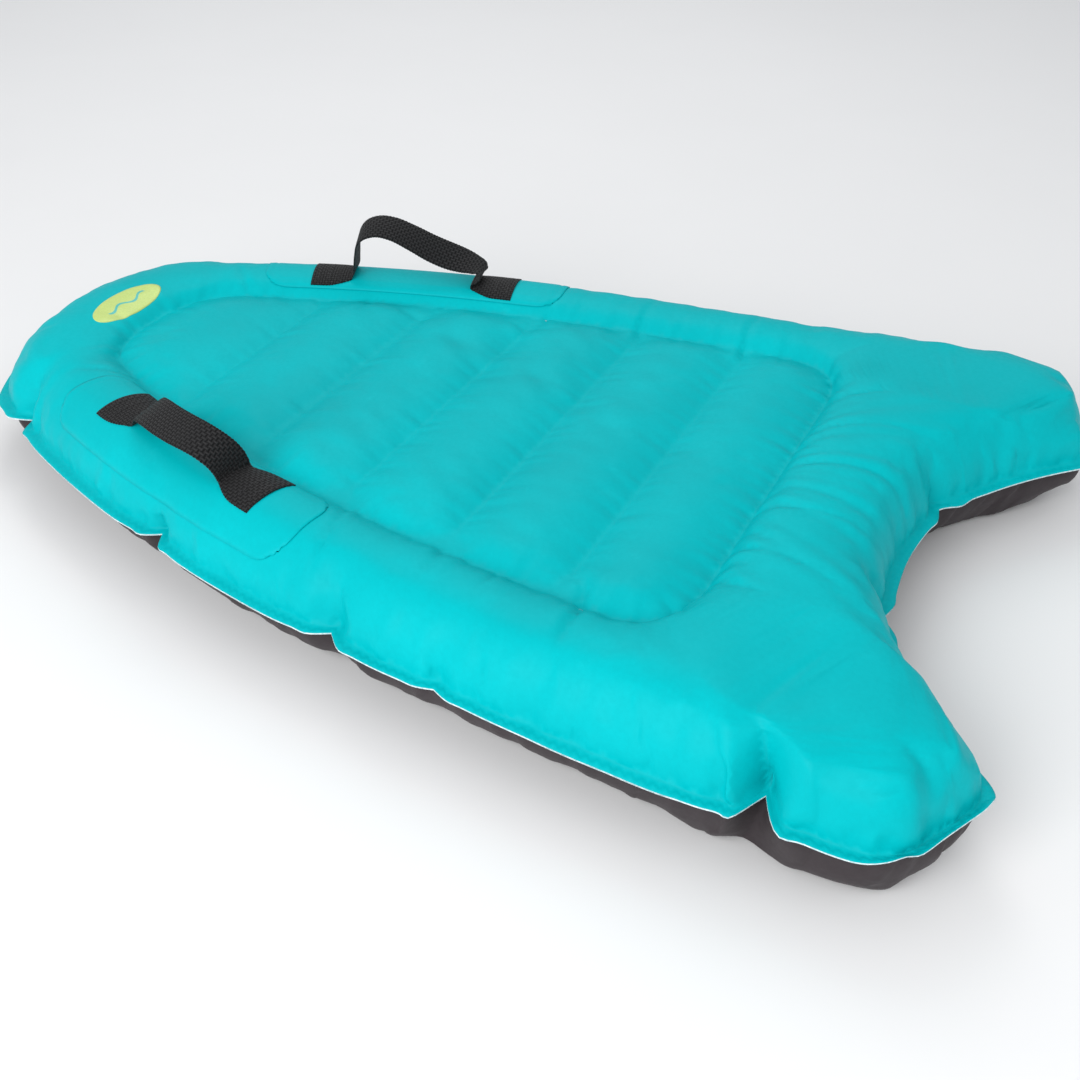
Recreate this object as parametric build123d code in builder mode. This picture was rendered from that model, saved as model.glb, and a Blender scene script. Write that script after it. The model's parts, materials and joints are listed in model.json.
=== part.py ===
"""Inflatable bodyboard: two coated-fabric skins welded together round a flange, held in shape
by internal fabric baffles, with two webbing handles on the side tubes and one air valve.

Frame: +X towards the nose, +Y to the rider's left, +Z up. The origin lies on the ground
under the middle of the board. All sizes are in millimetres.
"""

from build123d import *

import os
from math import asin, cos, degrees, radians, sin, sqrt, tan

os.makedirs("parts", exist_ok=True)

# ---------------------------------------------------------------- driving dimensions
# plan outline of the flange, left half, nose to tail
half_length = 480.0
nose_corner = (435.0, 137.0)
side_middle = (12.0, 284.0)
side_slope = 0.165  # how fast the side narrows towards the nose at side_middle
lobe_outer = (-436.0, 320.0)
lobe_inner = (-488.5, 226.0)
tail_notch_x = -374.0
nose_round, lobe_outer_round, lobe_inner_round = 50.0, 50.0, 30.0

# inflated section
tube_radius = 52.0
ground_flat = 0.4  # how far the tubes flatten where they rest on the ground
joint_swell = 0.7  # how much larger the ball over a corner is than the tubes
skin = 0.6  # thickness of each coated-fabric sheet
flange_width = 10.0
weld_half_height = 38.0  # half the baffles' height
channel_rise = 6.0  # height of a channel's crown above its weld lines
channel_overlap = 0.9  # how far into the side tubes the channels run, as a share

# baffles inside the centre panel
nose_weld_x, tail_weld_x = 362.0, -252.0
cross_baffles_x = (241.0, 141.0, 41.0, -59.0, -159.0)
bridge_run = 26.0  # length of the slope from an end weld up to the crown's height
air_gap = 26.0  # gap that lets the air pass at the end of each weld
nose_panel_round, tail_panel_round = 45.0, 55.0
web_thickness = 0.6
weld_band = 8.0

# handles, along the top of each side tube
handle_x = 178.5
handle_length = 203.0
tab_length = 42.0
tab_width, grip_width = 50.0, 30.0
tab_waist = 0.45  # share of a tab's length that keeps its full width
tab_neck = 34.0  # width of a tab where the grip leaves it
webbing_thickness = 1.6
grip_thickness = 2.8
left_rise, right_rise = 38.0, 54.0  # the strap lies lower on the left side
front_rise, rear_rise = 0.93, 0.55  # height of the arch over its feet, as a share of its rise
top_reach = 0.35  # how far forwards the arch's highest point is, as a share of its half span
arch_round = 12.0
foot_inset = 3.0
fold_clearance = 2.0  # degrees between strap and patch at the tilt limit
foot_gap = 0.5
tilt_limit = 60.0
patch_length, patch_thickness, patch_corner = 300.0, 0.8, 24.0
patch_inboard, patch_outboard = 26.0, 44.0
stitch_length, stitch_width, stitch_height, stitch_pitch = 3.2, 0.9, 0.4, 5.2
stitches_per_row = 7
stitch_rows = (0.15, 0.42)  # distance of each row from the tab's end, as a share of its length

badge_x, badge_length, badge_width, badge_thickness = 391.0, 88.0, 34.0, 0.3

# valve on the underside, seated in a shallow round recess
valve_x = 301.0
recess_radius, recess_depth = 31.0, 4.0
base_flange_radius, base_flange_thickness, base_flange_edge = 28.0, 1.2, 0.5
collar_outer_radius, collar_inner_radius, collar_height = 22.0, 20.0, 18.0
stop_radius, stop_thickness = 16.5, 2.0
thread_clearance = 0.3
gasket_thickness = 1.2
insert_floor, insert_proud = 2.0, 0.5
port_radius, boss_radius = 8.0, 11.0
boss_below, boss_above = 2.0, 11.5
port_length, port_relief = 8.0, 9.0  # the nozzle's seat, and the wider bore behind it
spoke_width, spoke_thickness, hub_radius = 1.8, 1.5, 3.2
flap_radius, flap_thickness, flap_travel = 10.4, 1.0, 2.0
stem_radius, knob_radius, knob_thickness = 1.5, 2.4, 1.0
cap_radius, cap_thickness, cap_skirt = 15.5, 1.4, 1.2
cap_clearance, skirt_clearance = 0.3, 0.6
hinge_offset, hinge_pin_radius, knuckle_radius, knuckle_length = 16.6, 0.8, 1.6, 8.0
lug_width = 2.2
hinge_gap, pin_clearance, stem_clearance = 0.2, 0.05, 0.1
cap_tab_length, cap_tab_width, cap_strap_length = 12.0, 8.0, 4.2

# ---------------------------------------------------------------- derived dimensions
middle = tube_radius - ground_flat  # height of the seam plane above the ground
crown = weld_half_height + channel_rise
path_inset = flange_width + tube_radius
panel_inset = path_inset + sqrt(tube_radius**2 - weld_half_height**2)
fill_inset = path_inset + channel_overlap * sqrt(tube_radius**2 - crown**2)
tall = 3 * tube_radius
seam_plane = Plane.XY.offset(middle)
tube_top = middle + tube_radius
seat = middle - crown + recess_depth  # height of the valve's seat above the ground


def save(part, name):
    """Label one finished piece and write it as its own STEP file."""
    part.label = name
    export_step(part, f"parts/{name}.step")


# ---------------------------------------------------------------- plan shapes
def outline(inset):
    """The board's plan outline, moved inwards by inset."""
    with BuildSketch() as plan:
        with BuildLine():
            front = TangentArc(side_middle, nose_corner, tangent=(1, -side_slope))
            back = TangentArc(side_middle, lobe_outer, tangent=(-1, side_slope))
            lobe = Line(lobe_outer, lobe_inner)
            mirror([front, back, lobe], about=Plane.XZ)
            ThreePointArc(nose_corner, (half_length, 0), (nose_corner[0], -nose_corner[1]))
            ThreePointArc(lobe_inner, (tail_notch_x, 0), (lobe_inner[0], -lobe_inner[1]))
        make_face()
        corners = plan.vertices().sort_by(Axis.X)
        fillet(corners[:2], lobe_inner_round)
        fillet(corners[2:4], lobe_outer_round)
        fillet(corners[-2:], nose_round)
        if inset:
            offset(amount=-inset, kind=Kind.INTERSECTION, mode=Mode.REPLACE)
    return plan.sketch


def panel_outline(inset):
    """The centre panel's weld line: parallel to the sides, cut off at nose and tail."""
    with BuildSketch() as panel:
        add(outline(panel_inset))
        with Locations(((nose_weld_x + tail_weld_x) / 2, 0)):
            Rectangle(nose_weld_x - tail_weld_x, 2 * half_length, mode=Mode.INTERSECT)
        corners = panel.vertices().sort_by(Axis.X)
        fillet(corners[:2], tail_panel_round)
        fillet(corners[-2:], nose_panel_round)
        if inset:
            offset(amount=-inset, mode=Mode.REPLACE)
    return panel.sketch


def weld_line(width):
    """A band of the given width that follows the panel's weld line."""
    with BuildSketch() as band:
        add(panel_outline(-width / 2))
        add(panel_outline(width / 2), mode=Mode.SUBTRACT)
    return band.sketch


def prism(sketch, low, high):
    """A plan sketch made into a solid between two heights."""
    with BuildPart() as solid:
        with BuildSketch(Plane.XY.offset(low)):
            add(sketch)
        extrude(amount=high - low)
    return solid.part


# ---------------------------------------------------------------- inflated shape
tube_path = outline(path_inset).faces()[0].outer_wire().moved(Location((0, 0, middle)))
path_arcs = tube_path.edges().filter_by(GeomType.CIRCLE)
nose_joints = [vertex.center() for vertex in tube_path.vertices().sort_by(Axis.X)[-2:]]
lobe_joints = [edge.center() for edge in tube_path.edges().filter_by(GeomType.LINE)]


def bend(arc, radius, bore=0.0):
    """A round tube, solid or hollow, along one arc of the path."""
    start, heading = arc @ 0, arc % 0
    from_centre = start - arc.arc_center
    turn = 1 if from_centre.X * heading.Y > from_centre.Y * heading.X else -1
    with BuildPart() as piece:
        with BuildSketch(Plane(start, x_dir=(0, 0, 1), z_dir=heading)):
            Circle(radius)
            if bore:
                Circle(bore, mode=Mode.SUBTRACT)
        revolve(
            axis=Axis(arc.arc_center, (0, 0, turn)),
            revolution_arc=degrees(arc.length / arc.radius),
        )
    return piece.part


def tube(radius):
    """The ring of air round the board: a bent round tube along each arc of its path, with a
    slightly larger ball over each corner where two of them meet at an angle."""
    with BuildPart() as ring:
        for arc in path_arcs:
            add(bend(arc, radius))
        with Locations(*nose_joints, *lobe_joints):
            Sphere(radius + joint_swell)
    return ring.part


def channels(shrink):
    """The deck between the tubes, bulging up and down between the cross baffles."""
    weld = weld_half_height - shrink
    stations = (nose_weld_x, *cross_baffles_x, tail_weld_x)
    with BuildPart() as body:
        with BuildSketch(Plane.XZ):
            with BuildLine():
                for side in (1, -1):
                    low, high = middle + side * weld, middle + side * (crown - shrink)
                    for front_x, rear_x in zip(stations, stations[1:]):
                        centre_x = (front_x + rear_x) / 2
                        ThreePointArc((front_x, low), (centre_x, high), (rear_x, low))
                    for end_x, out in ((nose_weld_x, 1), (tail_weld_x, -1)):
                        far_x = out * half_length
                        Polyline((end_x, low), (end_x + out * bridge_run, high), (far_x, high))
                for far_x in (-half_length, half_length):
                    Line((far_x, middle - crown + shrink), (far_x, middle + crown - shrink))
            make_face()
        extrude(amount=half_length, both=True)
        add(prism(outline(fill_inset), 0, tall), mode=Mode.INTERSECT)
    return body.part


def air_body(shrink):
    """The whole inflated shape, made smaller by shrink on every side."""
    with BuildPart() as body:
        add(tube(tube_radius - shrink))
        add(channels(shrink))
        with Locations((valve_x, 0, 0)):
            Cylinder(
                recess_radius + shrink,
                seat + shrink,
                align=(Align.CENTER, Align.CENTER, Align.MIN),
                mode=Mode.SUBTRACT,
            )
        with Locations((0, 0, shrink)):
            Box(
                3 * half_length,
                3 * half_length,
                tube_radius,
                align=(Align.CENTER, Align.CENTER, Align.MAX),
                mode=Mode.SUBTRACT,
            )
    return body.part


outer_body = air_body(0)
air_space = air_body(skin)
lined_space = air_body(skin + web_thickness)


def make_skin(name, keep, flange_low, valve_hole):
    """One of the two sheets: half of the inflated shell and its half of the welded flange."""
    with BuildPart() as sheet:
        add(outer_body)
        split(bisect_by=seam_plane, keep=keep)
        add(prism(outline(0), flange_low, flange_low + skin))
        add(air_space, mode=Mode.SUBTRACT)
        if valve_hole:
            with Locations((valve_x, 0, seat)):
                Cylinder(collar_outer_radius, 4 * skin, mode=Mode.SUBTRACT)
    save(sheet.part, name)


make_skin("deck_skin", Keep.TOP, middle, False)
make_skin("hull_skin", Keep.BOTTOM, middle - skin, True)


# ---------------------------------------------------------------- baffles
def make_baffle(name, web_plan, band_plan):
    """An upright web between deck and hull, with a weld band at its top and bottom."""
    with BuildPart() as bands:
        add(prism(band_plan, 0, tall))
        add(air_space, mode=Mode.INTERSECT)
        add(lined_space, mode=Mode.SUBTRACT)
    with BuildPart() as baffle:
        add(prism(web_plan, 0, tall))
        add(air_space, mode=Mode.INTERSECT)
        add(bands.part)
    save(baffle.part, name)


def window(sketch, low_x, high_x, side):
    """The part of a plan sketch between two stations, on one side or, with side 0, on both."""
    with BuildSketch() as piece:
        add(sketch)
        with Locations(((low_x + high_x) / 2, side * half_length / 2)):
            across = half_length - 2 * air_gap if side else 2 * half_length
            Rectangle(high_x - low_x, across, mode=Mode.INTERSECT)
    return piece.sketch


def cross_strip(station, width):
    """A straight strip across the panel that stops short of the side welds."""
    with BuildSketch() as strip:
        add(panel_outline(air_gap))
        with Locations((station, 0)):
            Rectangle(width, 2 * half_length, mode=Mode.INTERSECT)
    return strip.sketch


for number, station in enumerate(cross_baffles_x, start=1):
    make_baffle(
        f"cross_baffle_{number}",
        cross_strip(station, web_thickness),
        cross_strip(station, weld_band),
    )

web_ring, band_ring = weld_line(web_thickness), weld_line(weld_band)
for side, side_name in ((1, "left"), (-1, "right")):
    for number, (front_x, rear_x) in enumerate(zip(cross_baffles_x, cross_baffles_x[1:]), start=1):
        make_baffle(
            f"side_baffle_{side_name}_{number}",
            window(web_ring, rear_x + air_gap, front_x, side),
            window(band_ring, rear_x + air_gap, front_x, side),
        )
for name, low_x, high_x in (
    ("nose_baffle", cross_baffles_x[0] + air_gap, half_length),
    ("tail_baffle", -half_length, cross_baffles_x[-1] - air_gap / 2),
):
    make_baffle(name, window(web_ring, low_x, high_x, 0), window(band_ring, low_x, high_x, 0))


# ---------------------------------------------------------------- handles
near_handle = Vertex(handle_x, side_middle[1], middle)
handle_arc = path_arcs.sort_by(lambda edge: edge.distance_to(near_handle))[0]
handle_reach = handle_x - handle_arc.arc_center.X
handle_y = handle_arc.arc_center.Y + sqrt(handle_arc.radius**2 - handle_reach**2)
handle_turn = asin(handle_reach / handle_arc.radius)  # how far the tube has turned inwards
handle_frame = Plane(
    (handle_x, handle_y, tube_top),
    x_dir=(cos(handle_turn), -sin(handle_turn), 0),
    z_dir=(0, 0, 1),
)
pivot_height = patch_thickness + foot_gap + grip_thickness / 2


def tube_layer(low, high, plan):
    """A thin layer that wraps the side tube between two heights above it, cut to a plan."""
    with BuildPart() as layer:
        add(bend(handle_arc, tube_radius + high, tube_radius + low))
        add(prism(plan, middle + tube_radius / 3, 2 * tall), mode=Mode.INTERSECT)
    return layer.part


def on_handle(sketch):
    """Move a sketch drawn about the handle's middle onto the left side tube."""
    frame = Plane((handle_frame.origin.X, handle_frame.origin.Y, 0), x_dir=handle_frame.x_dir)
    return frame.location * sketch


def patch_plan():
    """The rounded rectangle of the welded patch under a handle."""
    with BuildSketch() as plan:
        with Locations((0, (patch_outboard - patch_inboard) / 2)):
            RectangleRounded(patch_length, patch_outboard + patch_inboard, patch_corner)
    return on_handle(plan.sketch)


def tab_plan(end):
    """A strap end: full width at its outer end, gathered towards the grip."""
    outer_x, inner_x = end * handle_length / 2, end * (handle_length / 2 - tab_length)
    waist_x = end * (handle_length / 2 - tab_waist * tab_length)
    with BuildSketch() as plan:
        with BuildLine():
            for edge in (1, -1):
                wide, narrow = edge * tab_width / 2, edge * tab_neck / 2
                Line((outer_x, 0), (outer_x, wide))
                Line((outer_x, wide), (waist_x, wide))
                Spline(
                    (waist_x, wide),
                    (inner_x, narrow),
                    tangents=[(-end, 0), (-end, 0)],
                )
                Line((inner_x, narrow), (inner_x, 0))
        make_face()
    return on_handle(plan.sketch)


def stitching():
    """Two rows of stitches across each strap end, each lying flat on the strap."""
    height = tube_radius + patch_thickness + webbing_thickness
    with BuildPart() as stitches:
        for end in (1, -1):
            for row in stitch_rows:
                along = end * (handle_length / 2 - row * tab_length)
                for column in range(stitches_per_row):
                    across = (column - (stitches_per_row - 1) / 2) * stitch_pitch
                    turn = degrees(handle_turn + along / handle_arc.radius)
                    place = (
                        Location(handle_arc.arc_center)
                        * Location((0, 0, 0), (0, 0, 90 - turn))
                        * Location((handle_arc.radius, 0, 0), (0, degrees(across / height), 0))
                    )
                    with Locations(place * Location((0, 0, height))):
                        Box(
                            stitch_length,
                            stitch_width,
                            stitch_height,
                            align=(Align.CENTER, Align.CENTER, Align.MIN),
                        )
    return stitches.part


def grip(rise):
    """The standing loop: an arch of folded strap that narrows to a point at each foot, where
    the flexible strap twists, so that it can lie over to either side."""
    span = handle_length / 2 - tab_length - foot_inset
    foot = pivot_height
    side_plane = Plane(handle_frame.origin, x_dir=handle_frame.x_dir, z_dir=-handle_frame.y_dir)
    front_plane = Plane(handle_frame.origin, x_dir=handle_frame.y_dir, z_dir=handle_frame.x_dir)
    with BuildPart() as loop:
        with BuildSketch(side_plane):
            with BuildLine():
                FilletPolyline(
                    (span, foot),
                    (span, foot + front_rise * rise),
                    (top_reach * span, foot + rise),
                    (-span, foot + rear_rise * rise),
                    (-span, foot),
                    radius=arch_round,
                )
            trace(line_width=grip_thickness)
        extrude(amount=grip_width / 2, both=True)
        with BuildSketch(front_plane):
            tip = grip_thickness / 2
            shoulder = foot + (grip_width / 2 - tip) * tan(radians(tilt_limit + fold_clearance))
            with BuildLine():
                Polyline(
                    (-tip, foot - tip),
                    (-grip_width / 2, shoulder),
                    (-grip_width / 2, foot + 2 * rise),
                    (grip_width / 2, foot + 2 * rise),
                    (grip_width / 2, shoulder),
                    (tip, foot - tip),
                    close=True,
                )
            make_face()
        extrude(amount=handle_length, both=True, mode=Mode.INTERSECT)
    return loop.part


def make_handle(side_name, rise):
    """Save one handle's pieces; the right side mirrors the left."""
    webbing_low, webbing_high = patch_thickness, patch_thickness + webbing_thickness
    pieces = {
        "patch": tube_layer(0, patch_thickness, patch_plan()),
        "front_tab": tube_layer(webbing_low, webbing_high, tab_plan(1)),
        "rear_tab": tube_layer(webbing_low, webbing_high, tab_plan(-1)),
        "stitching": stitching(),
        "grip": grip(rise),
    }
    for piece_name, piece in pieces.items():
        with BuildPart() as placed:
            if side_name == "left":
                add(piece)
            else:
                mirror(piece, about=Plane.XZ)
        save(placed.part, f"handle_{side_name}_{piece_name}")


make_handle("left", left_rise)
make_handle("right", right_rise)

# ---------------------------------------------------------------- badge
with BuildSketch() as badge_plan:
    with Locations((badge_x, 0)):
        Ellipse(badge_width / 2, badge_length / 2)
with BuildPart() as nose_badge:
    add(prism(badge_plan.sketch, middle + tube_radius / 3, tall))
    add(air_body(-badge_thickness), mode=Mode.INTERSECT)
    add(outer_body, mode=Mode.SUBTRACT)
save(nose_badge.part, "nose_badge")

# ---------------------------------------------------------------- valve
thread_radius = collar_inner_radius - thread_clearance
flange_face = seat - base_flange_thickness  # outer face of the valve base
collar_top = flange_face + collar_height
gasket_low = collar_top - stop_thickness - gasket_thickness
floor_low = flange_face - insert_proud  # outer face of the insert
boss_low = floor_low - boss_below
boss_top = floor_low + boss_above
hinge_height = floor_low - knuckle_radius - 2 * hinge_gap
hinge_x = valve_x - hinge_offset


def ring(low, high, outer_radius, inner_radius=0.0):
    """A round or ring-shaped prism on the valve's axis."""
    with BuildPart() as piece:
        with BuildSketch(Plane((valve_x, 0, low))):
            Circle(outer_radius)
            if inner_radius:
                Circle(inner_radius, mode=Mode.SUBTRACT)
        extrude(amount=high - low)
    return piece.part


with BuildPart() as valve_base:
    add(ring(flange_face, seat, base_flange_radius, collar_inner_radius))
    add(ring(flange_face, collar_top, collar_outer_radius, collar_inner_radius))
    add(ring(collar_top - stop_thickness, collar_top, collar_outer_radius, stop_radius))
    chamfer(valve_base.faces().sort_by(Axis.Z)[0].outer_wire().edges(), base_flange_edge)
save(valve_base.part, "valve_base")

with BuildPart() as valve_gasket:
    add(ring(gasket_low, gasket_low + gasket_thickness, thread_radius, stop_radius))
save(valve_gasket.part, "valve_gasket")

with BuildPart() as valve_insert:
    add(ring(floor_low, floor_low + insert_floor, thread_radius, port_radius))
    add(ring(floor_low, gasket_low, thread_radius, thread_radius - insert_floor))
    add(ring(boss_low, boss_low + port_length, boss_radius, port_radius))
    add(ring(boss_low + port_length, boss_top, boss_radius, port_relief))
    add(ring(boss_top - spoke_thickness, boss_top, hub_radius, stem_radius + stem_clearance))
    with BuildSketch(Plane((valve_x, 0, boss_top - spoke_thickness))):
        with PolarLocations((port_relief + hub_radius) / 2, 3):
            Rectangle(port_relief - hub_radius + 1, spoke_width)
    extrude(amount=spoke_thickness)
    with BuildSketch(Plane((hinge_x, 0, hinge_height), z_dir=(0, 1, 0), x_dir=(1, 0, 0))):
        Circle(knuckle_radius)
        with Locations((0, -knuckle_radius)):
            Rectangle(2 * knuckle_radius, 2 * knuckle_radius)
        Circle(hinge_pin_radius, mode=Mode.SUBTRACT)
    extrude(amount=knuckle_length / 2 + hinge_gap + lug_width, both=True)
    with Locations((hinge_x, 0, hinge_height)):
        Box(
            4 * knuckle_radius,
            knuckle_length + 2 * hinge_gap,
            2 * (knuckle_radius + hinge_gap),
            mode=Mode.SUBTRACT,
        )
save(valve_insert.part, "valve_insert")

with BuildPart() as hinge_pin:
    with BuildSketch(Plane((hinge_x, 0, hinge_height), z_dir=(0, 1, 0))):
        Circle(hinge_pin_radius)
    extrude(amount=knuckle_length / 2 + hinge_gap + lug_width, both=True)
save(hinge_pin.part, "valve_hinge_pin")

with BuildPart() as check_flap:
    add(ring(boss_top, boss_top + flap_thickness, flap_radius))
    stem_low = boss_top - spoke_thickness - flap_travel - knob_thickness
    add(ring(stem_low, boss_top, stem_radius))
    add(ring(stem_low, stem_low + knob_thickness, knob_radius))
save(check_flap.part, "valve_check_flap")

with BuildPart() as valve_cap:
    cap_high = boss_low - cap_clearance
    skirt_inner = boss_radius + skirt_clearance
    add(ring(cap_high - cap_thickness, cap_high, cap_radius))
    add(ring(cap_high, floor_low - cap_clearance, skirt_inner + cap_skirt, skirt_inner))
    with BuildSketch(Plane((valve_x, 0, cap_high - cap_thickness))):
        with Locations((cap_radius, 0)):
            SlotOverall(cap_tab_length, cap_tab_width)
        with Locations((-hinge_offset, 0)):
            Rectangle(cap_strap_length, knuckle_length, align=(Align.MIN, Align.CENTER))
    extrude(amount=cap_thickness)
    with BuildSketch(Plane((hinge_x, 0, hinge_height), z_dir=(0, 1, 0))):
        Circle(knuckle_radius)
        Circle(hinge_pin_radius + pin_clearance, mode=Mode.SUBTRACT)
    extrude(amount=knuckle_length / 2, both=True)
    with Locations((hinge_x, 0, hinge_height)):
        Cylinder(
            hinge_pin_radius + pin_clearance,
            2 * knuckle_length,
            rotation=(90, 0, 0),
            mode=Mode.SUBTRACT,
        )
save(valve_cap.part, "valve_cap")
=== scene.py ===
"""Looks of the inflatable bodyboard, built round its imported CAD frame. Units are metres."""

import json
import math

import bmesh
import bpy
import numpy as np
from mathutils import Matrix, Vector, geometry
from mathutils.bvhtree import BVHTree


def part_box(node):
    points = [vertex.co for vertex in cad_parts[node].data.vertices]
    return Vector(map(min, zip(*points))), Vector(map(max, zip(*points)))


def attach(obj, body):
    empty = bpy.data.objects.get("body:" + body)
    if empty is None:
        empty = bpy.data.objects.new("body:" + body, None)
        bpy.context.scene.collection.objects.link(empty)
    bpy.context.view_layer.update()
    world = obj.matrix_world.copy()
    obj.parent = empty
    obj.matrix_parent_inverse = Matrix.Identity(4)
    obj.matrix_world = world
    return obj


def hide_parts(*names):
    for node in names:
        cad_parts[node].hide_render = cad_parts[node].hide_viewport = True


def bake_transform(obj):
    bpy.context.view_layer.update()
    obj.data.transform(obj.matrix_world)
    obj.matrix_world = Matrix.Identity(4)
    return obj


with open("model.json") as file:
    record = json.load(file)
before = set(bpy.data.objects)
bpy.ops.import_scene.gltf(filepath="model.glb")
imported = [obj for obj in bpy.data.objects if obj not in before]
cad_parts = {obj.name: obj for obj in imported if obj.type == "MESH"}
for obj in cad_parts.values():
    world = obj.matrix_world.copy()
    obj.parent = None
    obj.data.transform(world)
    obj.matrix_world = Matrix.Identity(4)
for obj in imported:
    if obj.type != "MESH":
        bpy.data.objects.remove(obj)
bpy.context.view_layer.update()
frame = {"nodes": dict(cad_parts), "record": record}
MM = 0.001

# ---------------- sizes read from the frame
deck_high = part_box("deck_skin")[1]
hull_low, hull_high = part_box("hull_skin")
SEAM_Z = hull_high.z
WELD_BAND = 8 * MM
CROSS_X = [(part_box(f"cross_baffle_{k}")[0].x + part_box(f"cross_baffle_{k}")[1].x) / 2 for k in range(1, 6)]
NOSE_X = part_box("nose_baffle")[1].x - WELD_BAND / 2
TAIL_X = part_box("tail_baffle")[0].x + WELD_BAND / 2
TUBE_R = 52 * MM
WELD_H = 38 * MM
FLANGE = 10 * MM
base_low, base_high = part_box("valve_base")
VALVE = np.array([(base_low.x + base_high.x) / 2, 0.0])
VALVE_SEAT = base_low.z + 1.2 * MM
VALVE_FLAT = 37 * MM  # radius of the flat patch of sheet under the valve's flange
HOLE_R = 22.5 * MM

# ---------------- plan shapes
# inflated: the flange's outer edge, as in the CAD; flat: the same sheet before it is inflated
INFLATED = {
    "side_middle": (0.012, 0.284), "slope": 0.165, "nose_corner": (0.435, 0.137),
    "nose_tip": (0.480, 0.0), "lobe_outer": (-0.436, 0.320), "lobe_inner": (-0.4885, 0.226),
    "notch": (-0.374, 0.0), "rounds": (0.050, 0.050, 0.030),
}
FLAT = {
    "side_middle": (0.012, 0.317), "slope": 0.165, "nose_corner": (0.489, 0.149),
    "nose_tip": (0.533, 0.0), "lobe_outer": (-0.463, 0.353), "lobe_inner": (-0.530, 0.222),
    "notch": (-0.397, 0.0), "rounds": (0.060, 0.050, 0.030),
}
PANEL_STRETCH = 0.03  # spare length along the board that lets the channels bulge
STEP = 2 * MM
PANEL_ROUNDS = (0.062, 0.060)  # corner radii of the panel's weld line, at the nose and at the tail
WELD_GAP = 0.026  # between the ends of two weld lines, where air passes from cell to cell


def unit_rows(vectors):
    """Plan vectors, each made one long."""
    return vectors / np.hypot(*vectors.T)[:, None]


def run_along(points):
    """The run along a plan curve up to each of its points."""
    return np.concatenate([[0], np.cumsum(np.hypot(*np.diff(points, axis=0).T))])


def circle_through(a, b, c):
    """Centre and radius of the circle through three points."""
    (ax, ay), (bx, by), (cx, cy) = a, b, c
    d = 2 * (ax * (by - cy) + bx * (cy - ay) + cx * (ay - by))
    ux = ((ax**2 + ay**2) * (by - cy) + (bx**2 + by**2) * (cy - ay) + (cx**2 + cy**2) * (ay - by)) / d
    uy = ((ax**2 + ay**2) * (cx - bx) + (bx**2 + by**2) * (ax - cx) + (cx**2 + cy**2) * (bx - ax)) / d
    return np.array([ux, uy]), math.hypot(ax - ux, ay - uy)


def arc_points(a, b, c):
    """Points along the arc from a through b to c."""
    centre, radius = circle_through(a, b, c)
    angles = [math.atan2(p[1] - centre[1], p[0] - centre[0]) for p in (a, b, c)]
    sweep = (angles[2] - angles[0]) % (2 * math.pi)
    if (angles[1] - angles[0]) % (2 * math.pi) > sweep:
        sweep -= 2 * math.pi
    count = max(2, round(abs(sweep) * radius / STEP))
    turn = angles[0] + sweep * np.linspace(0, 1, count + 1)
    return centre + radius * np.stack([np.cos(turn), np.sin(turn)], 1)


def tangent_arc(start, tangent, end):
    """Points along the arc that leaves start along tangent and reaches end."""
    t = np.array(tangent) / np.hypot(*tangent)
    chord = np.array(end) - np.array(start)
    normal = np.array([-t[1], t[0]])
    radius = chord @ chord / (2 * (chord @ normal))
    centre = np.array(start) + radius * normal
    middle = np.array(start) + chord / 2 - centre
    middle = centre + middle / np.hypot(*middle) * abs(radius)
    return arc_points(start, middle, end)


def rounded(before, after, radius):
    """Two runs of points that meet in a corner, with the corner rounded off."""
    d1 = before[-1] - before[-2]
    d2 = after[1] - after[0]
    turn = abs(math.atan2(d1[0] * d2[1] - d1[1] * d2[0], d1 @ d2))
    cut = radius * math.tan(turn / 2)
    back = np.cumsum(np.hypot(*np.diff(before[::-1], axis=0).T))
    ahead = np.cumsum(np.hypot(*np.diff(after, axis=0).T))
    i, j = int(np.searchsorted(back, cut)) + 1, int(np.searchsorted(ahead, cut)) + 1
    p, q, corner = before[-1 - i], after[j], before[-1]
    s = np.linspace(0, 1, max(3, int(turn * radius / STEP)))[1:-1, None]
    bend = (1 - s) ** 2 * p + 2 * s * (1 - s) * corner + s**2 * q
    return np.concatenate([before[: -1 - i + 1], bend]), after[j:]


def half_outline(shape):
    """The left half of an outline from the nose tip to the notch."""
    mirror_corner = (shape["nose_corner"][0], -shape["nose_corner"][1])
    nose = arc_points(mirror_corner, shape["nose_tip"], shape["nose_corner"])
    nose = nose[len(nose) // 2:]
    front = tangent_arc(shape["side_middle"], (1, -shape["slope"]), shape["nose_corner"])[::-1]
    back = tangent_arc(shape["side_middle"], (-1, shape["slope"]), shape["lobe_outer"])
    lobe = np.linspace(shape["lobe_outer"], shape["lobe_inner"], 40)
    mirror_lobe = (shape["lobe_inner"][0], -shape["lobe_inner"][1])
    tail = arc_points(shape["lobe_inner"], shape["notch"], mirror_lobe)
    tail = tail[: len(tail) // 2 + 1]
    side = np.concatenate([front, back[1:]])
    nose, side = rounded(nose, side, shape["rounds"][0])
    side, lobe = rounded(side, lobe, shape["rounds"][1])
    lobe, tail = rounded(lobe, tail, shape["rounds"][2])
    return np.concatenate([nose, side, lobe, tail])


def resample(points, count):
    """The same curve with evenly spaced points."""
    run = run_along(points)
    at = np.linspace(0, run[-1], count)
    return np.stack([np.interp(at, run, points[:, k]) for k in (0, 1)], 1)


def length_of(points):
    return float(np.hypot(*np.diff(points, axis=0).T).sum())


def closed(half):
    """A closed loop from the left half, nose tip first, counter-clockwise seen from above."""
    right = half[-2:0:-1] * (1, -1)
    return np.concatenate([half, right])


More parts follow.
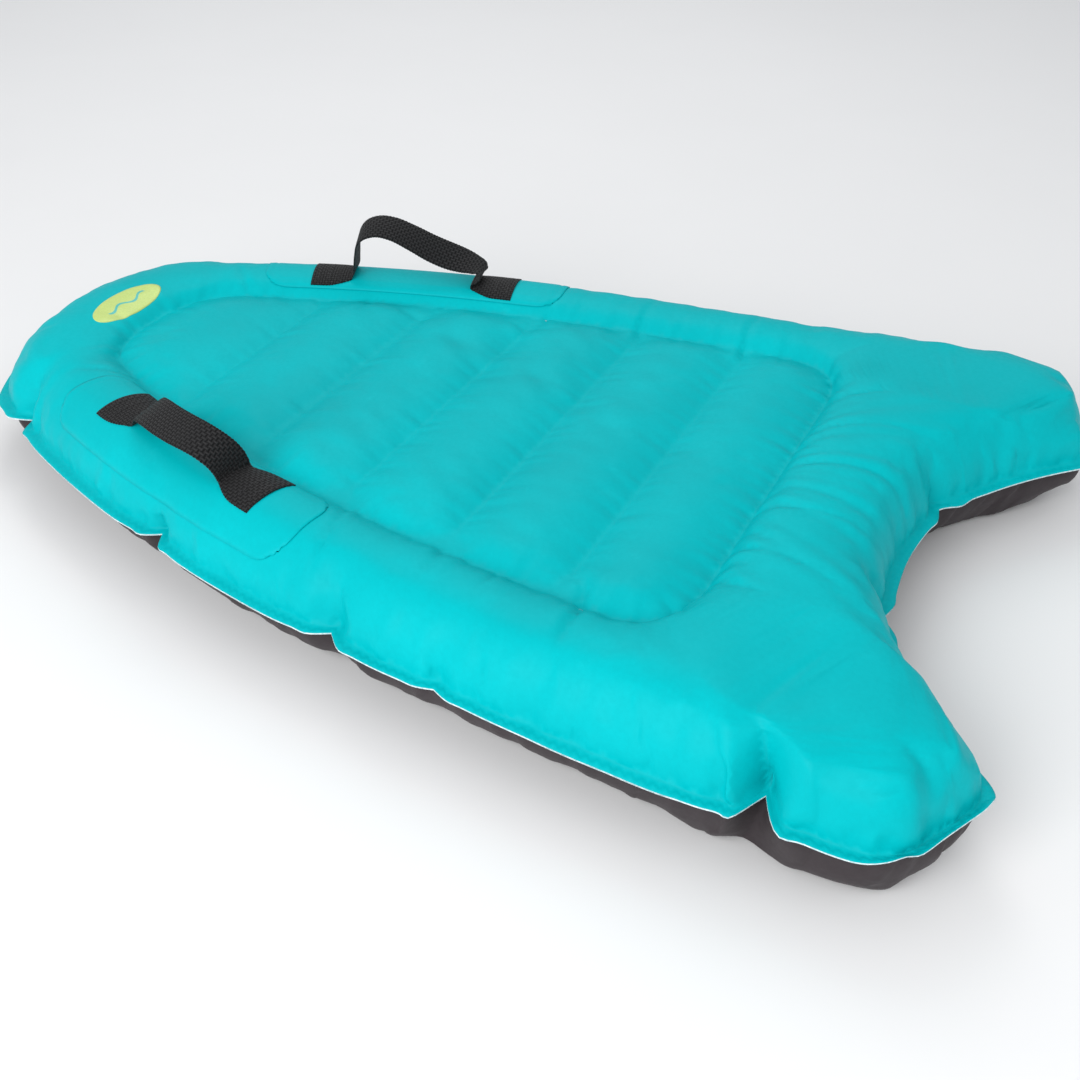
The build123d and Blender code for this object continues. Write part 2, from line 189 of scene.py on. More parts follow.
def offset_loop(loop, distance):
    """A closed loop moved outwards."""
    tangent = unit_rows(np.roll(loop, -1, 0) - np.roll(loop, 1, 0))
    return loop + distance * np.stack([tangent[:, 1], -tangent[:, 0]], 1)


def to_flat(points):
    """Where a point of the inflated panel lies in the flat sheet."""
    points = np.asarray(points, float)
    spare = PANEL_STRETCH * np.clip(points[..., 0], TAIL_X, NOSE_X)
    return np.stack([points[..., 0] + spare, points[..., 1]], -1)


def from_flat(points):
    """Where a point of the flat sheet lies in the inflated panel."""
    x = points[..., 0]
    inner = x / (1 + PANEL_STRETCH)
    behind = np.where(inner < TAIL_X, x - PANEL_STRETCH * TAIL_X, inner)
    x = np.where(inner > NOSE_X, x - PANEL_STRETCH * NOSE_X, behind)
    return np.stack([x, points[..., 1]], -1)


# ---------------- weld lines of the panel
PANEL_INSET = FLANGE + TUBE_R + math.sqrt(TUBE_R**2 - WELD_H**2)


def panel_half():
    """The left half of the panel's weld line, nose to tail, on the inflated board."""
    outer = half_outline(INFLATED)
    tangent = unit_rows(np.gradient(outer, axis=0))
    inner = outer + PANEL_INSET * np.stack([-tangent[:, 1], tangent[:, 0]], 1)
    keep = (inner[:, 0] < NOSE_X) & (inner[:, 0] > TAIL_X) & (inner[:, 1] > 0)
    run = np.where(keep)[0]
    side = inner[run[0] : run[-1] + 1]
    side = side[(side[:, 0] < NOSE_X) & (side[:, 0] > TAIL_X)]
    nose = np.linspace((NOSE_X, 0), (NOSE_X, side[0, 1]), 30)
    tail = np.linspace((TAIL_X, side[-1, 1]), (TAIL_X, 0), 60)
    side = np.concatenate([[nose[-1]], side, [tail[0]]])
    nose, side = rounded(nose, side, PANEL_ROUNDS[0])
    side, tail = rounded(side, tail, PANEL_ROUNDS[1])
    return np.concatenate([nose, side, tail])


def split_run(points, low_x, high_x):
    """The points of a curve between two stations."""
    inside = (points[:, 0] >= low_x) & (points[:, 0] <= high_x)
    return points[inside]


def weld_lines():
    """Every weld line of the panel, on the inflated board: nose, sides, tail and across."""
    half = panel_half()
    lines = []
    nose = half[half[:, 0] > CROSS_X[0] + WELD_GAP]
    tail = half[half[:, 0] < CROSS_X[-1] - WELD_GAP / 2]
    lines.append(np.concatenate([nose[::-1] * (1, -1), nose[1:]]))
    lines.append(np.concatenate([tail, tail[::-1][1:] * (1, -1)]))
    for front, rear in zip(CROSS_X, CROSS_X[1:]):
        run = split_run(half, rear + WELD_GAP, front)
        lines += [run, run * (1, -1)]
    for x in CROSS_X:
        reach = float(np.interp(-x, -half[:, 0], half[:, 1])) - WELD_GAP
        lines.append(np.array([(x, -reach), (x, reach)]))
    return lines


def weld_runs(spacing):
    """The weld lines with points a mesh edge apart."""
    return [resample(w, max(2, round(length_of(w) / spacing) + 1)) for w in weld_lines()]


# ---------------- flat pattern mesh
def nearest(points, curve):
    """Index of and distance to the nearest vertex of curve for each point."""
    index = np.empty(len(points), int)
    distance = np.empty(len(points))
    for i in range(0, len(points), 500):
        d = np.hypot(*(points[i : i + 500, None] - curve[None]).transpose(2, 0, 1))
        index[i : i + 500] = d.argmin(1)
        distance[i : i + 500] = d.min(1)
    return index, distance


def inside_loop(points, loop):
    """Which points lie inside a closed loop."""
    x, y = points[:, 0][:, None], points[:, 1][:, None]
    a, b = loop, np.roll(loop, -1, 0)
    crosses = (a[:, 1] > y) != (b[:, 1] > y)
    dy = np.where(b[:, 1] == a[:, 1], 1e-12, b[:, 1] - a[:, 1])
    at = a[:, 0] + (y - a[:, 1]) / dy * (b[:, 0] - a[:, 0])
    return (crosses & (x < at)).sum(1) % 2 == 1


def flat_mesh(spacing):
    """The two sheets and the flange as one triangle mesh, with the places of its points flat
    and on the inflated board, and which of them lie on a weld."""
    half = half_outline(FLAT)
    outer = closed(resample(half, round(length_of(half) / spacing) + 1))
    seam = offset_loop(outer, -FLANGE)
    n_seam = len(seam)
    welds = [to_flat(w) for w in weld_runs(spacing)]
    turn = np.linspace(0, 2 * math.pi, 24, endpoint=False)
    hole = to_flat(VALVE) + HOLE_R * np.stack([np.cos(turn), np.sin(turn)], 1)
    fixed = np.concatenate([seam] + welds + [hole])
    edges = [(i, (i + 1) % n_seam) for i in range(n_seam)]
    start = n_seam
    for w in welds:
        edges += [(start + i, start + i + 1) for i in range(len(w) - 1)]
        start += len(w)
    n_weld = start - n_seam
    first_hole = start
    edges += [(start + i, start + (i + 1) % len(hole)) for i in range(len(hole))]
    rows = np.arange(-0.6, 0.6, spacing * math.sqrt(3) / 2)
    grid = []
    for k, x in enumerate(rows):
        shift = spacing / 2 if k % 2 else 0.0
        ys = np.arange(shift, 0.45, spacing)
        grid.append(np.stack([np.full(len(ys), x), ys], 1))
        mirrored = ys[ys > 0]
        grid.append(np.stack([np.full(len(mirrored), x), -mirrored], 1))
    grid = np.concatenate(grid)
    grid = grid[inside_loop(grid, seam)]
    grid = grid[nearest(grid, fixed)[1] > 0.62 * spacing]
    points = np.concatenate([fixed, grid])
    out = geometry.delaunay_2d_cdt(
        [Vector(p) for p in points], edges, [list(range(n_seam))], 1, 1e-7
    )
    verts = np.array([tuple(v) for v in out[0]])
    faces = np.array([list(f) for f in out[2]])
    first = np.array([o[0] if o else -1 for o in out[3]])
    is_seam = (first >= 0) & (first < n_seam)
    is_weld = (first >= n_seam) & (first < n_seam + n_weld)
    hole_vertex = np.where((first >= first_hole) & (first < len(fixed)))[0]
    return verts, faces, first, is_seam, is_weld, seam, outer, hole_vertex


def inflated_guess(flat, seam_flat, seam_final):
    """A first shape for the top sheet: round tubes, flat panel and shallow channels."""
    half = panel_half()
    panel = closed(resample(half, 400))
    panel_flat = to_flat(panel)
    inside = inside_loop(flat, panel_flat)
    to_panel, panel_gap = nearest(flat, panel_flat)
    to_seam, seam_gap = nearest(flat, seam_flat)
    place = from_flat(flat)
    height = np.full(len(flat), WELD_H)
    stations = np.array([NOSE_X, *CROSS_X, TAIL_X])[::-1]
    cell = np.clip(np.searchsorted(stations, place[:, 0]) - 1, 0, len(stations) - 2)
    across = (place[:, 0] - stations[cell]) / (stations[cell + 1] - stations[cell])
    bulge = 10 * MM * np.clip(1 - (2 * across - 1) ** 2, 0, 1) * np.clip(panel_gap / 0.03, 0, 1)
    height = height + np.where(inside, bulge, 0)
    p, s = panel[to_panel], seam_final[to_seam]
    width = np.maximum(np.hypot(*(p - s).T), 1e-4)
    radius = (width**2 + WELD_H**2) / (2 * width)
    share = panel_gap / (panel_gap + seam_gap + 1e-9)
    weld_angle = np.arctan2(WELD_H, width - radius)
    angle = weld_angle + share * (math.pi - weld_angle)
    out = 1 - (radius + radius * np.cos(angle)) / width
    tube = p + (s - p) * out[:, None]
    tube_height = np.minimum(radius * np.sin(angle), 53 * MM)
    place = np.where(inside[:, None], place, tube)
    height = np.where(inside, height, tube_height)
    return np.concatenate([place, height[:, None]], 1)


# ---------------- inflation by cloth simulation
def build_air_mesh(spacing):
    """Deck sheet, hull sheet and flange as one closed mesh, in its first guess and laid flat."""
    verts, faces, first, is_seam, is_weld, seam, outer, hole = flat_mesh(spacing)
    final_outer = closed(resample(half_outline(INFLATED), len(outer) // 2 + 1))
    final_seam = offset_loop(final_outer, -FLANGE)
    guess = inflated_guess(verts, seam, final_seam)
    guess[is_seam] = np.concatenate([final_seam[first[is_seam]], np.zeros((is_seam.sum(), 1))], 1)
    weld_final = np.concatenate(weld_runs(spacing))
    guess[is_weld, :2] = weld_final[first[is_weld] - len(seam)]
    guess[is_weld, 2] = WELD_H
    n = len(verts)
    lower = np.full(n, -1)
    lower[~is_seam] = n + np.arange((~is_seam).sum())
    lower[is_seam] = np.where(is_seam)[0]
    m = n + (~is_seam).sum()
    ring = m + np.arange(len(outer))
    seam_vertex = np.empty(len(outer), int)
    seam_vertex[first[is_seam]] = np.where(is_seam)[0]
    flat = np.zeros((m + len(outer), 3))
    flat[:n, :2] = verts
    flat[n:m, :2] = verts[~is_seam]
    flat[m:, :2] = outer
    start = np.zeros_like(flat)
    start[:n] = guess
    start[n:m] = guess[~is_seam] * (1, 1, -1)
    start[m:, :2] = final_outer
    a = verts[faces[:, 1]] - verts[faces[:, 0]]
    b = verts[faces[:, 2]] - verts[faces[:, 0]]
    up = (a[:, 0] * b[:, 1] - a[:, 1] * b[:, 0]) > 0
    faces = np.where(up[:, None], faces, faces[:, ::-1])
    bottom = lower[faces][:, ::-1]
    following = np.roll(np.arange(len(outer)), -1)
    strip = np.concatenate(
        [
            np.stack([seam_vertex, ring, ring[following]], 1),
            np.stack([seam_vertex, ring[following], seam_vertex[following]], 1),
        ]
    )
    weld = np.zeros(len(flat), bool)
    weld[:n] = is_weld
    weld[lower[np.where(is_weld)[0]]] = True
    under = np.zeros(len(flat), bool)
    under[n:m] = np.hypot(*(start[n:m, :2] - VALVE).T) < VALVE_FLAT
    start[under, 2] = VALVE_SEAT - SEAM_Z
    weld |= under
    return {
        "flat": flat, "start": start, "top": faces, "bottom": bottom, "strip": strip, "weld": weld,
        "sheet_count": m, "seam": seam_vertex, "final_seam": final_seam, "hole": lower[hole],
    }


# deep puckers, where the sheets fold in at the seam: x, y, depth, half width, run up the tube
PUCKERS = (
    (0.392, 0.152, 0.013, 0.009, 0.045), (0.178, 0.236, 0.011, 0.0075, 0.055),
    (-0.010, 0.286, 0.009, 0.009, 0.050), (-0.110, 0.301, 0.004, 0.008, 0.030),
    (-0.352, 0.314, 0.024, 0.0085, 0.060),
    (-0.462, -0.240, 0.008, 0.008, 0.060), (-0.372, 0.075, 0.007, 0.010, 0.045),
    (-0.376, -0.095, 0.007, 0.010, 0.045), (-0.340, -0.313, 0.014, 0.012, 0.050),
    (0.060, -0.278, 0.008, 0.009, 0.045), (0.300, -0.196, 0.009, 0.010, 0.045),
    (0.440, -0.115, 0.008, 0.010, 0.040), (0.476, 0.020, 0.005, 0.009, 0.035),
)

# long creases on the deck: start, end, depth, half width
CREASES = (
    ((0.031, -0.165), (0.036, -0.235), 2.6, 5.0), ((-0.161, -0.185), (-0.152, -0.262), 2.4, 5.0),
    ((-0.172, 0.183), (-0.188, 0.262), 3.0, 6.0), ((0.046, -0.242), (0.039, -0.190), 1.8, 4.0),
    ((0.201, -0.148), (0.212, -0.200), 2.0, 4.5), ((0.225, 0.130), (0.262, 0.100), 1.4, 4.0),
    ((0.030, 0.180), (0.012, 0.258), 2.2, 5.0), ((0.180, 0.226), (0.205, 0.176), 1.8, 5.0),
    ((-0.060, 0.190), (-0.070, 0.250), 1.6, 4.5), ((-0.258, 0.050), (-0.335, 0.045), 2.2, 5.0),
    ((-0.255, 0.105), (-0.345, 0.128), 2.6, 5.5), ((-0.262, -0.020), (-0.338, -0.035), 1.8, 4.5),
    ((-0.262, -0.080), (-0.345, -0.110), 2.4, 5.5), ((-0.262, -0.140), (-0.372, -0.185), 2.8, 6.0),
    ((-0.258, 0.150), (-0.380, 0.205), 2.6, 6.0), ((-0.240, -0.175), (-0.330, -0.262), 2.4, 6.0),
    ((-0.235, 0.182), (-0.310, 0.262), 2.2, 6.0), ((-0.330, 0.235), (-0.425, 0.262), 2.0, 6.0),
    ((-0.395, -0.170), (-0.440, -0.232), 2.6, 6.0), ((-0.110, 0.185), (-0.112, 0.232), 1.4, 4.0),
    ((0.120, -0.165), (0.130, -0.225), 1.6, 4.5), ((-0.060, -0.180), (-0.052, -0.245), 1.8, 4.5),
    ((0.300, 0.090), (0.345, 0.118), 1.6, 4.5), ((0.300, -0.085), (0.345, -0.118), 1.6, 4.5),
)


def seed_folds(air):
    """Small uneven pushes, so that the spare cloth buckles unevenly."""
    rng = np.random.default_rng(11)
    count = air["sheet_count"]
    free = ~air["weld"][:count, None]
    air["start"][:count] += rng.normal(0, 0.3 * MM, (count, 3)) * free
    for x, y, depth, _, _ in PUCKERS:
        away = np.hypot(air["start"][:, 0] - x, air["start"][:, 1] - y)
        push = 0.5 * depth * np.exp(-((away / 0.028) ** 2)) * (~air["weld"])
        air["start"][:, :2] -= push[:, None] * np.array([x, y]) / math.hypot(x, y)
    return air


def inflate(air, frames=36):
    """Run Blender's Cloth on the sheets with pressure inside, and return where they end up."""
    mesh = bpy.data.meshes.new("air_mesh")
    faces = np.concatenate([air["top"], air["bottom"], air["strip"]])
    mesh.from_pydata(air["start"].tolist(), [], faces.tolist())
    mesh.update()
    body = bpy.data.objects.new("air_sim", mesh)
    bpy.context.scene.collection.objects.link(body)
    body.shape_key_add(name="Basis")
    rest = body.shape_key_add(name="Flat")
    rest.data.foreach_set("co", air["flat"].astype(np.float32).ravel())
    rest.value = 0.0
    pin = body.vertex_groups.new(name="pin")
    pin.add(np.where(air["weld"])[0].tolist(), 1.0, "REPLACE")
    press = body.vertex_groups.new(name="press")
    press.add(list(range(air["sheet_count"])), 1.0, "REPLACE")
    cloth = body.modifiers.new("Cloth", "CLOTH")
    s = cloth.settings
    s.quality = 6
    s.mass = 0.001
    s.tension_stiffness = s.compression_stiffness = 40
    s.shear_stiffness = 15
    s.bending_stiffness = 0.004
    s.tension_damping = s.compression_damping = 2
    s.shear_damping = 2
    s.bending_damping = 0.1
    s.air_damping = 1.0
    s.vertex_group_mass = "pin"
    s.pin_stiffness = 1.0
    s.rest_shape_key = rest
    s.use_pressure = True
    s.uniform_pressure_force = 100
    s.vertex_group_pressure = "press"
    s.effector_weights.gravity = 0.0
    cloth.collision_settings.use_collision = False
    cloth.collision_settings.use_self_collision = False
    scene = bpy.context.scene
    cloth.point_cache.frame_start, cloth.point_cache.frame_end = 1, frames
    for number in range(1, frames + 1):
        scene.frame_set(number)
    graph = bpy.context.evaluated_depsgraph_get()
    done = body.evaluated_get(graph).to_mesh()
    result = coords(done)
    scene.frame_set(1)
    bpy.data.objects.remove(body)
    return result


# ---------------- mesh helpers
def mesh_piece(name, verts, faces, uvs=None, smooth=True):
    """An object from arrays; uvs hold one pair per vertex, in metres of cloth."""
    mesh = bpy.data.meshes.new(name)
    mesh.from_pydata(np.asarray(verts).tolist(), [], [list(map(int, f)) for f in faces])
    mesh.update()
    mesh.polygons.foreach_set("use_smooth", [smooth] * len(mesh.polygons))
    if uvs is not None:
        layer = mesh.uv_layers.new(name="cloth")
        index = np.empty(len(mesh.loops), int)
        mesh.loops.foreach_get("vertex_index", index)
        layer.data.foreach_set("uv", np.asarray(uvs, np.float32)[index].ravel())
    piece = bpy.data.objects.new(name, mesh)
    bpy.context.scene.collection.objects.link(piece)
    return piece


def applied(piece):
    """Bake a piece's modifiers into its mesh."""
    graph = bpy.context.evaluated_depsgraph_get()
    baked = bpy.data.meshes.new_from_object(piece.evaluated_get(graph))
    piece.modifiers.clear()
    old, name = piece.data, piece.data.name
    piece.data = baked
    bpy.data.meshes.remove(old)
    baked.name = name
    return piece


def vectors_of(rows, field):
    """A vector field of a mesh's vertices as an array."""
    out = np.empty(len(rows) * 3, np.float32)
    rows.foreach_get(field, out)
    return out.reshape(-1, 3).astype(float)


def coords(mesh):
    return vectors_of(mesh.vertices, "co")


def grid_quads(rows, columns):
    """The quads of a grid of vertices, and the grid of the vertices' numbers."""
    index = np.arange(rows * columns).reshape(rows, columns)
    corners = (index[:-1, :-1], index[1:, :-1], index[1:, 1:], index[:-1, 1:])
    return np.stack(corners, -1).reshape(-1, 4), index


def set_coords(mesh, points):
    mesh.vertices.foreach_set("co", points.astype(np.float32).ravel())
    mesh.update()


def vertex_uv(mesh):
    """The cloth coordinates of each vertex."""
    index = np.empty(len(mesh.loops), int)
    mesh.loops.foreach_get("vertex_index", index)
    uv = np.empty(len(mesh.loops) * 2, np.float32)
    mesh.uv_layers["cloth"].data.foreach_get("uv", uv)
    out = np.zeros((len(mesh.vertices), 2))
    out[index] = uv.reshape(-1, 2)
    return out


def smooth_step(x):
    """From 0 to 1 without a corner at either end."""
    x = np.clip(x, 0, 1)
    return x * x * (3 - 2 * x)


def wander(t, wavelength, seed):
    """A smooth uneven wave along t, about one crest per wavelength."""
    rng = np.random.default_rng(seed)
    out = np.zeros_like(t, dtype=float)
    for share in (0.62, 0.83, 1.0, 1.31, 1.74):
        out += rng.uniform(0.6, 1.0) * np.sin(2 * math.pi * t / (wavelength * share) + rng.uniform(0, 6.3))
    return out / 2.2


def thicken(piece, thickness, rim_slot):
    """Give a sheet its thickness, inwards, with the rim in its own material slot."""
    solid = piece.modifiers.new("Thick", "SOLIDIFY")
    solid.thickness, solid.offset = thickness, -1.0
    solid.use_rim = True
    solid.material_offset_rim = rim_slot
    return applied(piece)


# ---------------- the handles' place on the tube
def side_circle(distance):
    """Centre and radius of the front side curve, moved inwards from the flange's edge."""
    curve = tangent_arc(INFLATED["side_middle"], (1, -INFLATED["slope"]), INFLATED["nose_corner"])
    centre, radius = circle_through(curve[0], curve[len(curve) // 2], curve[-1])
    return centre, radius - distance


joints = {j["name"]: j for j in frame["record"]["behaviour"]["joints"]}
pivot = joints["handle_left_tilt"]["pos_m"]
AXIS_CENTRE, AXIS_RADIUS = side_circle(FLANGE + TUBE_R)
HANDLE_TURN = math.asin((pivot[0] - AXIS_CENTRE[0]) / AXIS_RADIUS)
TAB_LOW, TAB_HIGH = 0.8 * MM, 2.4 * MM


def tube_frame(x, y):
    """Place of a plan point on the left front tube: along from the handle's middle, outwards
    from the tube's centreline."""
    dx, dy = x - AXIS_CENTRE[0], y - AXIS_CENTRE[1]
    turn = np.arctan2(dx, dy)
    return (turn - HANDLE_TURN) * AXIS_RADIUS, np.hypot(dx, dy) - AXIS_RADIUS


def tube_axis(along, side):
    """Points of the tube's centreline and the outward direction at each."""
    turn = HANDLE_TURN + along / AXIS_RADIUS
    out = np.stack([np.sin(turn), np.cos(turn), np.zeros_like(turn)], -1)
    centre = out * AXIS_RADIUS
    centre[..., 0] += AXIS_CENTRE[0]
    centre[..., 1] += AXIS_CENTRE[1]
    centre[..., 2] = SEAM_Z
    return centre * (1, side, 1), out * (1, side, 1)


def on_tube(along, across, height, side=1):
    """A point above the side tube; across is measured round the tube, outwards."""
    angle = across / (TUBE_R + height)
    centre, out = tube_axis(along, side)
    reach = (TUBE_R + height)[..., None] if np.ndim(height) else TUBE_R + height
    point = centre + out * (reach * np.sin(angle)[..., None])
    point[..., 2] += (reach * np.cos(angle)[..., None])[..., 0]
    return point


def round_rect(x, y, half_x, low_y, high_y, corner):
    """Signed distance to a rounded rectangle, below zero inside."""
    mid, half_y = (low_y + high_y) / 2, (high_y - low_y) / 2
    qx, qy = np.abs(x) - half_x + corner, np.abs(y - mid) - half_y + corner
    outside = np.hypot(np.maximum(qx, 0), np.maximum(qy, 0))
    return outside + np.minimum(np.maximum(qx, qy), 0) - corner


# half length, low and high edge across the tube, corner radius
PATCH = (150 * MM, -26 * MM, 44 * MM, 24 * MM)
TIGHT_STRIP = (110 * MM, -27 * MM, 27 * MM, 10 * MM)  # under the tabs, where the deck is held fully round


def settle_handles(points):
    """Hold the deck to its round tube under the two handle patches, which stiffen it."""
    out = points.copy()
    for side in (1, -1):
        along, off = tube_frame(points[:, 0], side * points[:, 1])
        weight = 1 - smooth_step((round_rect(along, off, *PATCH) + 14 * MM) / (34 * MM))
        weight *= (points[:, 2] > SEAM_Z + 12 * MM) & (points[:, 1] * side > 0)
        tight = 1 - smooth_step((round_rect(along, off, *TIGHT_STRIP) + 2 * MM) / (16 * MM))
        weight = np.maximum(0.85 * weight, tight * (weight > 0))
        rise = points[:, 2] - SEAM_Z
        reach = np.maximum(np.hypot(off, rise), 1e-6)
        shrink = TUBE_R / reach
        centre, outward = tube_axis(along, side)
        round_place = centre + outward * (off * shrink)[:, None]
        round_place[:, 2] = SEAM_Z + rise * shrink
        out += weight[:, None] * (round_place - points)
    return out


# ---------------- deck and hull
SEAM_CREASE, WELD_CREASE = 0.85, 0.6
SHEET_THICKNESS = 0.6 * MM
AIR_MESH, QUICK_AIR_MESH = 9 * MM, 14 * MM  # edge lengths of the simulated mesh


def sheet_piece(name, air, points, faces, flange_faces):
    """One coated sheet with its half of the flange, subdivided once."""
    used = np.unique(np.concatenate([faces.ravel(), flange_faces.ravel()]))
    back = np.full(len(points), -1)
    back[used] = np.arange(len(used))
    all_faces = back[np.concatenate([faces, flange_faces])]
    piece = mesh_piece(name, points[used], all_faces, air["flat"][used, :2])
    seam = set(back[air["seam"]].tolist())
    hole = set(back[air["hole"]].tolist()) if air["hole"][0] in used else set()
    crease = piece.data.attributes.new("crease_edge", "FLOAT", "EDGE")
    edges = np.empty(len(piece.data.edges) * 2, int)
    piece.data.edges.foreach_get("vertices", edges)
    edges = edges.reshape(-1, 2)
    welded = air["weld"][used]

    def sharpness(a, b):
        if (a in seam and b in seam) or (a in hole and b in hole):
            return SEAM_CREASE
        return WELD_CREASE if welded[a] and welded[b] else 0.0

    crease.data.foreach_set("value", [sharpness(a, b) for a, b in edges.tolist()])
    smooth = piece.modifiers.new("Smooth", "SUBSURF")
    smooth.levels = smooth.render_levels = 1
    smooth.uv_smooth = "NONE"
    return applied(piece)


def along_curve(points, curve):
    """Distance to a curve and the run along it of the nearest point."""
    index, distance = nearest(points, curve)
    return distance, run_along(curve)[index]


# short wrinkles that run from the seam: height, wavelength, reach, clear of the seam
SEAM_WRINKLES = ((2.3 * MM, 0.030, 0.022, 0.004), (1.2 * MM, 0.062, 0.055, 0.006))
WELD_GROOVE, WELD_SHOULDER = 0.0008, 0.004  # the weld itself stays flat, and its wrinkles start past it
CREASE_GAIN = 2.3


def press_creases(push, place):
    """Press the long creases into the deck."""
    for (x1, y1), (x2, y2), depth, width in CREASES:
        a, b = np.array([x1, y1]), np.array([x2, y2])
        d = b - a
        share = ((place[:, :2] - a) @ d) / (d @ d)
        bow = 0.05 * np.hypot(*d) * np.sin(math.pi * np.clip(share, 0, 1))
        off = (place[:, 0] - a[0]) * -d[1] + (place[:, 1] - a[1]) * d[0]
        off = off / np.hypot(*d) - bow
        run = smooth_step((share + 0.15) / 0.4) * smooth_step((1.2 - share) / 0.5)
        shape = np.exp(-np.abs(off) / (0.8 * width * MM))
        shape = shape - 0.5 * np.exp(-((off / (2.6 * width * MM)) ** 2))
        push -= CREASE_GAIN * depth * MM * run * shape * (place[:, 2] > SEAM_Z + 20 * MM)


def fold_puckers(place, normal, flat, beyond, air):
    """Fold the sheet in at the seam where it has its deep puckers."""
    seam = air["final_seam"]
    for x, y, depth, width, run_up in PUCKERS:
        index = nearest(np.array([[x, y]]), seam)[0][0]
        tangent = seam[(index + 2) % len(seam)] - seam[index - 2]
        tangent /= np.hypot(*tangent)
        inward = np.array([-tangent[1], tangent[0]])
        if inward @ np.array([x, y]) > 0:
            inward = -inward
        near_flat = air["flat"][air["seam"][index], :2]
        off = (flat - near_flat) @ tangent
        up = np.where(beyond, 0, np.abs((flat - near_flat) @ inward))
        close = np.hypot(*(flat - near_flat).T) < 0.16
        spread = width * (1 + 0.6 * up / run_up)
        ridge = np.exp(-((np.abs(off) - 2.1 * spread) / (0.9 * spread)) ** 2)
        fold = np.exp(-np.abs(off / spread) ** 1.25) - 0.22 * ridge
        fold *= np.exp(-((up / run_up) ** 1.5)) * depth * close
        place[:, :2] += (fold * np.where(beyond, 1.0, np.exp(-up / 0.05)))[:, None] * inward
        place -= normal * (0.45 * fold * (~beyond) * (up > 0.004))[:, None]


def wrinkle(piece, air, lower):
    """Add what the simulation's mesh is too coarse to hold: short wrinkles at the seam and
    the welds, deep puckers in the flange and long creases."""
    mesh = piece.data
    place, flat = coords(mesh), vertex_uv(mesh)
    normal = vectors_of(mesh.vertex_normals, "vector")
    half = resample(half_outline(FLAT), 700)
    seam_line = offset_loop(closed(half), -FLANGE)
    seam_line = resample(np.concatenate([seam_line, seam_line[:1]]), 1600)
    panel = to_flat(closed(resample(panel_half(), 1100)))
    inside = inside_loop(flat, panel)
    seam_gap, seam_run = along_curve(flat, seam_line)
    beyond = ~inside_loop(flat, seam_line[:-1])
    panel_gap, panel_run = along_curve(flat, panel)
    gap = np.where(beyond, 0, seam_gap)
    in_panel = np.clip(panel_gap / 0.02, 0, 1)
    seed = 40 if lower else 20
    push = np.zeros(len(flat))
    for k, (height, wavelength, reach, clear) in enumerate(SEAM_WRINKLES):
        line = height * wander(seam_run, wavelength, seed + k)
        push += line * np.exp(-gap / reach) * (1 - np.exp(-gap / clear))
    fade = np.clip((panel_gap - WELD_GROOVE) / WELD_SHOULDER, 0, 1)
    tail = smooth_step((TAIL_X - place[:, 0]) / 0.02) * smooth_step((gap - 0.02) / 0.04)
    fan = np.arctan2(place[:, 1], TAIL_X + 0.12 - place[:, 0]) * 0.30
    push += 1.5 * MM * wander(fan, 0.045, seed + 3) * tail
    reach = np.where(inside, 0.016, 0.022)
    push += 1.3 * MM * wander(panel_run, 0.021, seed + 2) * np.exp(-panel_gap / reach) * fade
    for k, x in enumerate(CROSS_X):
        away = np.abs(flat[:, 0] - to_flat((x, 0))[0])
        line = wander(flat[:, 1] + 0.2 * away, 0.021, seed + 5 + k) * np.exp(-away / 0.016)
        push += 0.75 * MM * line * inside * np.clip((away - WELD_GROOVE) / WELD_SHOULDER, 0, 1) * in_panel
    cells = wander(flat[:, 1] + 0.3 * flat[:, 0], 0.055, seed + 12)
    cells = cells * wander(flat[:, 0], 0.09, seed + 13)
    push += 0.8 * MM * cells * inside * in_panel
    if lower:
        near_valve = np.hypot(*(place[:, :2] - VALVE).T)
        push *= smooth_step((near_valve - VALVE_FLAT) / 0.02)
    else:
        press_creases(push, place)
    place += push[:, None] * normal
    fold_puckers(place, normal, flat, beyond, air)
    return place


def rein_in(z):
    """Keep the widest cells, at the tail, near the tubes' height, and the hull on the ground."""
    top = deck_high.z - 4 * MM
    z = np.where(z > top, top + 14 * MM * np.tanh((z - top) / (20 * MM)), z)
    low = hull_low.z + 5 * MM
    return np.where(z < low, low - 4.8 * MM * np.tanh((low - z) / (9 * MM)), z)


def make_air_pieces():
    """The deck and hull sheets, simulated and wrinkled."""
    air = seed_folds(build_air_mesh(AIR_MESH))
    points = inflate(air)
    points[:, 2] += SEAM_Z
    lift = 0.6 * MM * (1 - smooth_step(np.abs(points[:, 2] - SEAM_Z) / (20 * MM)))
    flange = air["strip"]
    deck_points, hull_points = points.copy(), points.copy()
    deck_points[:, 2] += lift
    hull_points[:, 2] -= lift
    deck = sheet_piece("deck_sheet", air, deck_points, air["top"], flange)
    valve_flat = air["flat"][air["bottom"]][:, :, :2].mean(1) - to_flat(VALVE)
    open_hull = air["bottom"][np.hypot(*valve_flat.T) > HOLE_R]
    hull = sheet_piece("hull_sheet", air, hull_points, open_hull, flange[:, ::-1])
    for piece, lower in ((deck, False), (hull, True)):
        place = wrinkle(piece, air, lower)
        if not lower:
            place = settle_handles(place)
        place[:, 2] = rein_in(place[:, 2])
        set_coords(piece.data, place)
    return deck, hull


def on_deck(tree, points):
    """Where rays from above meet the deck."""
    found = []
    for p in points:
        hit = tree.ray_cast(Vector(p), Vector((0, 0, -1)))
        found.append(tuple(hit[0]) if hit[0] else tuple(p))
    return np.array(found)


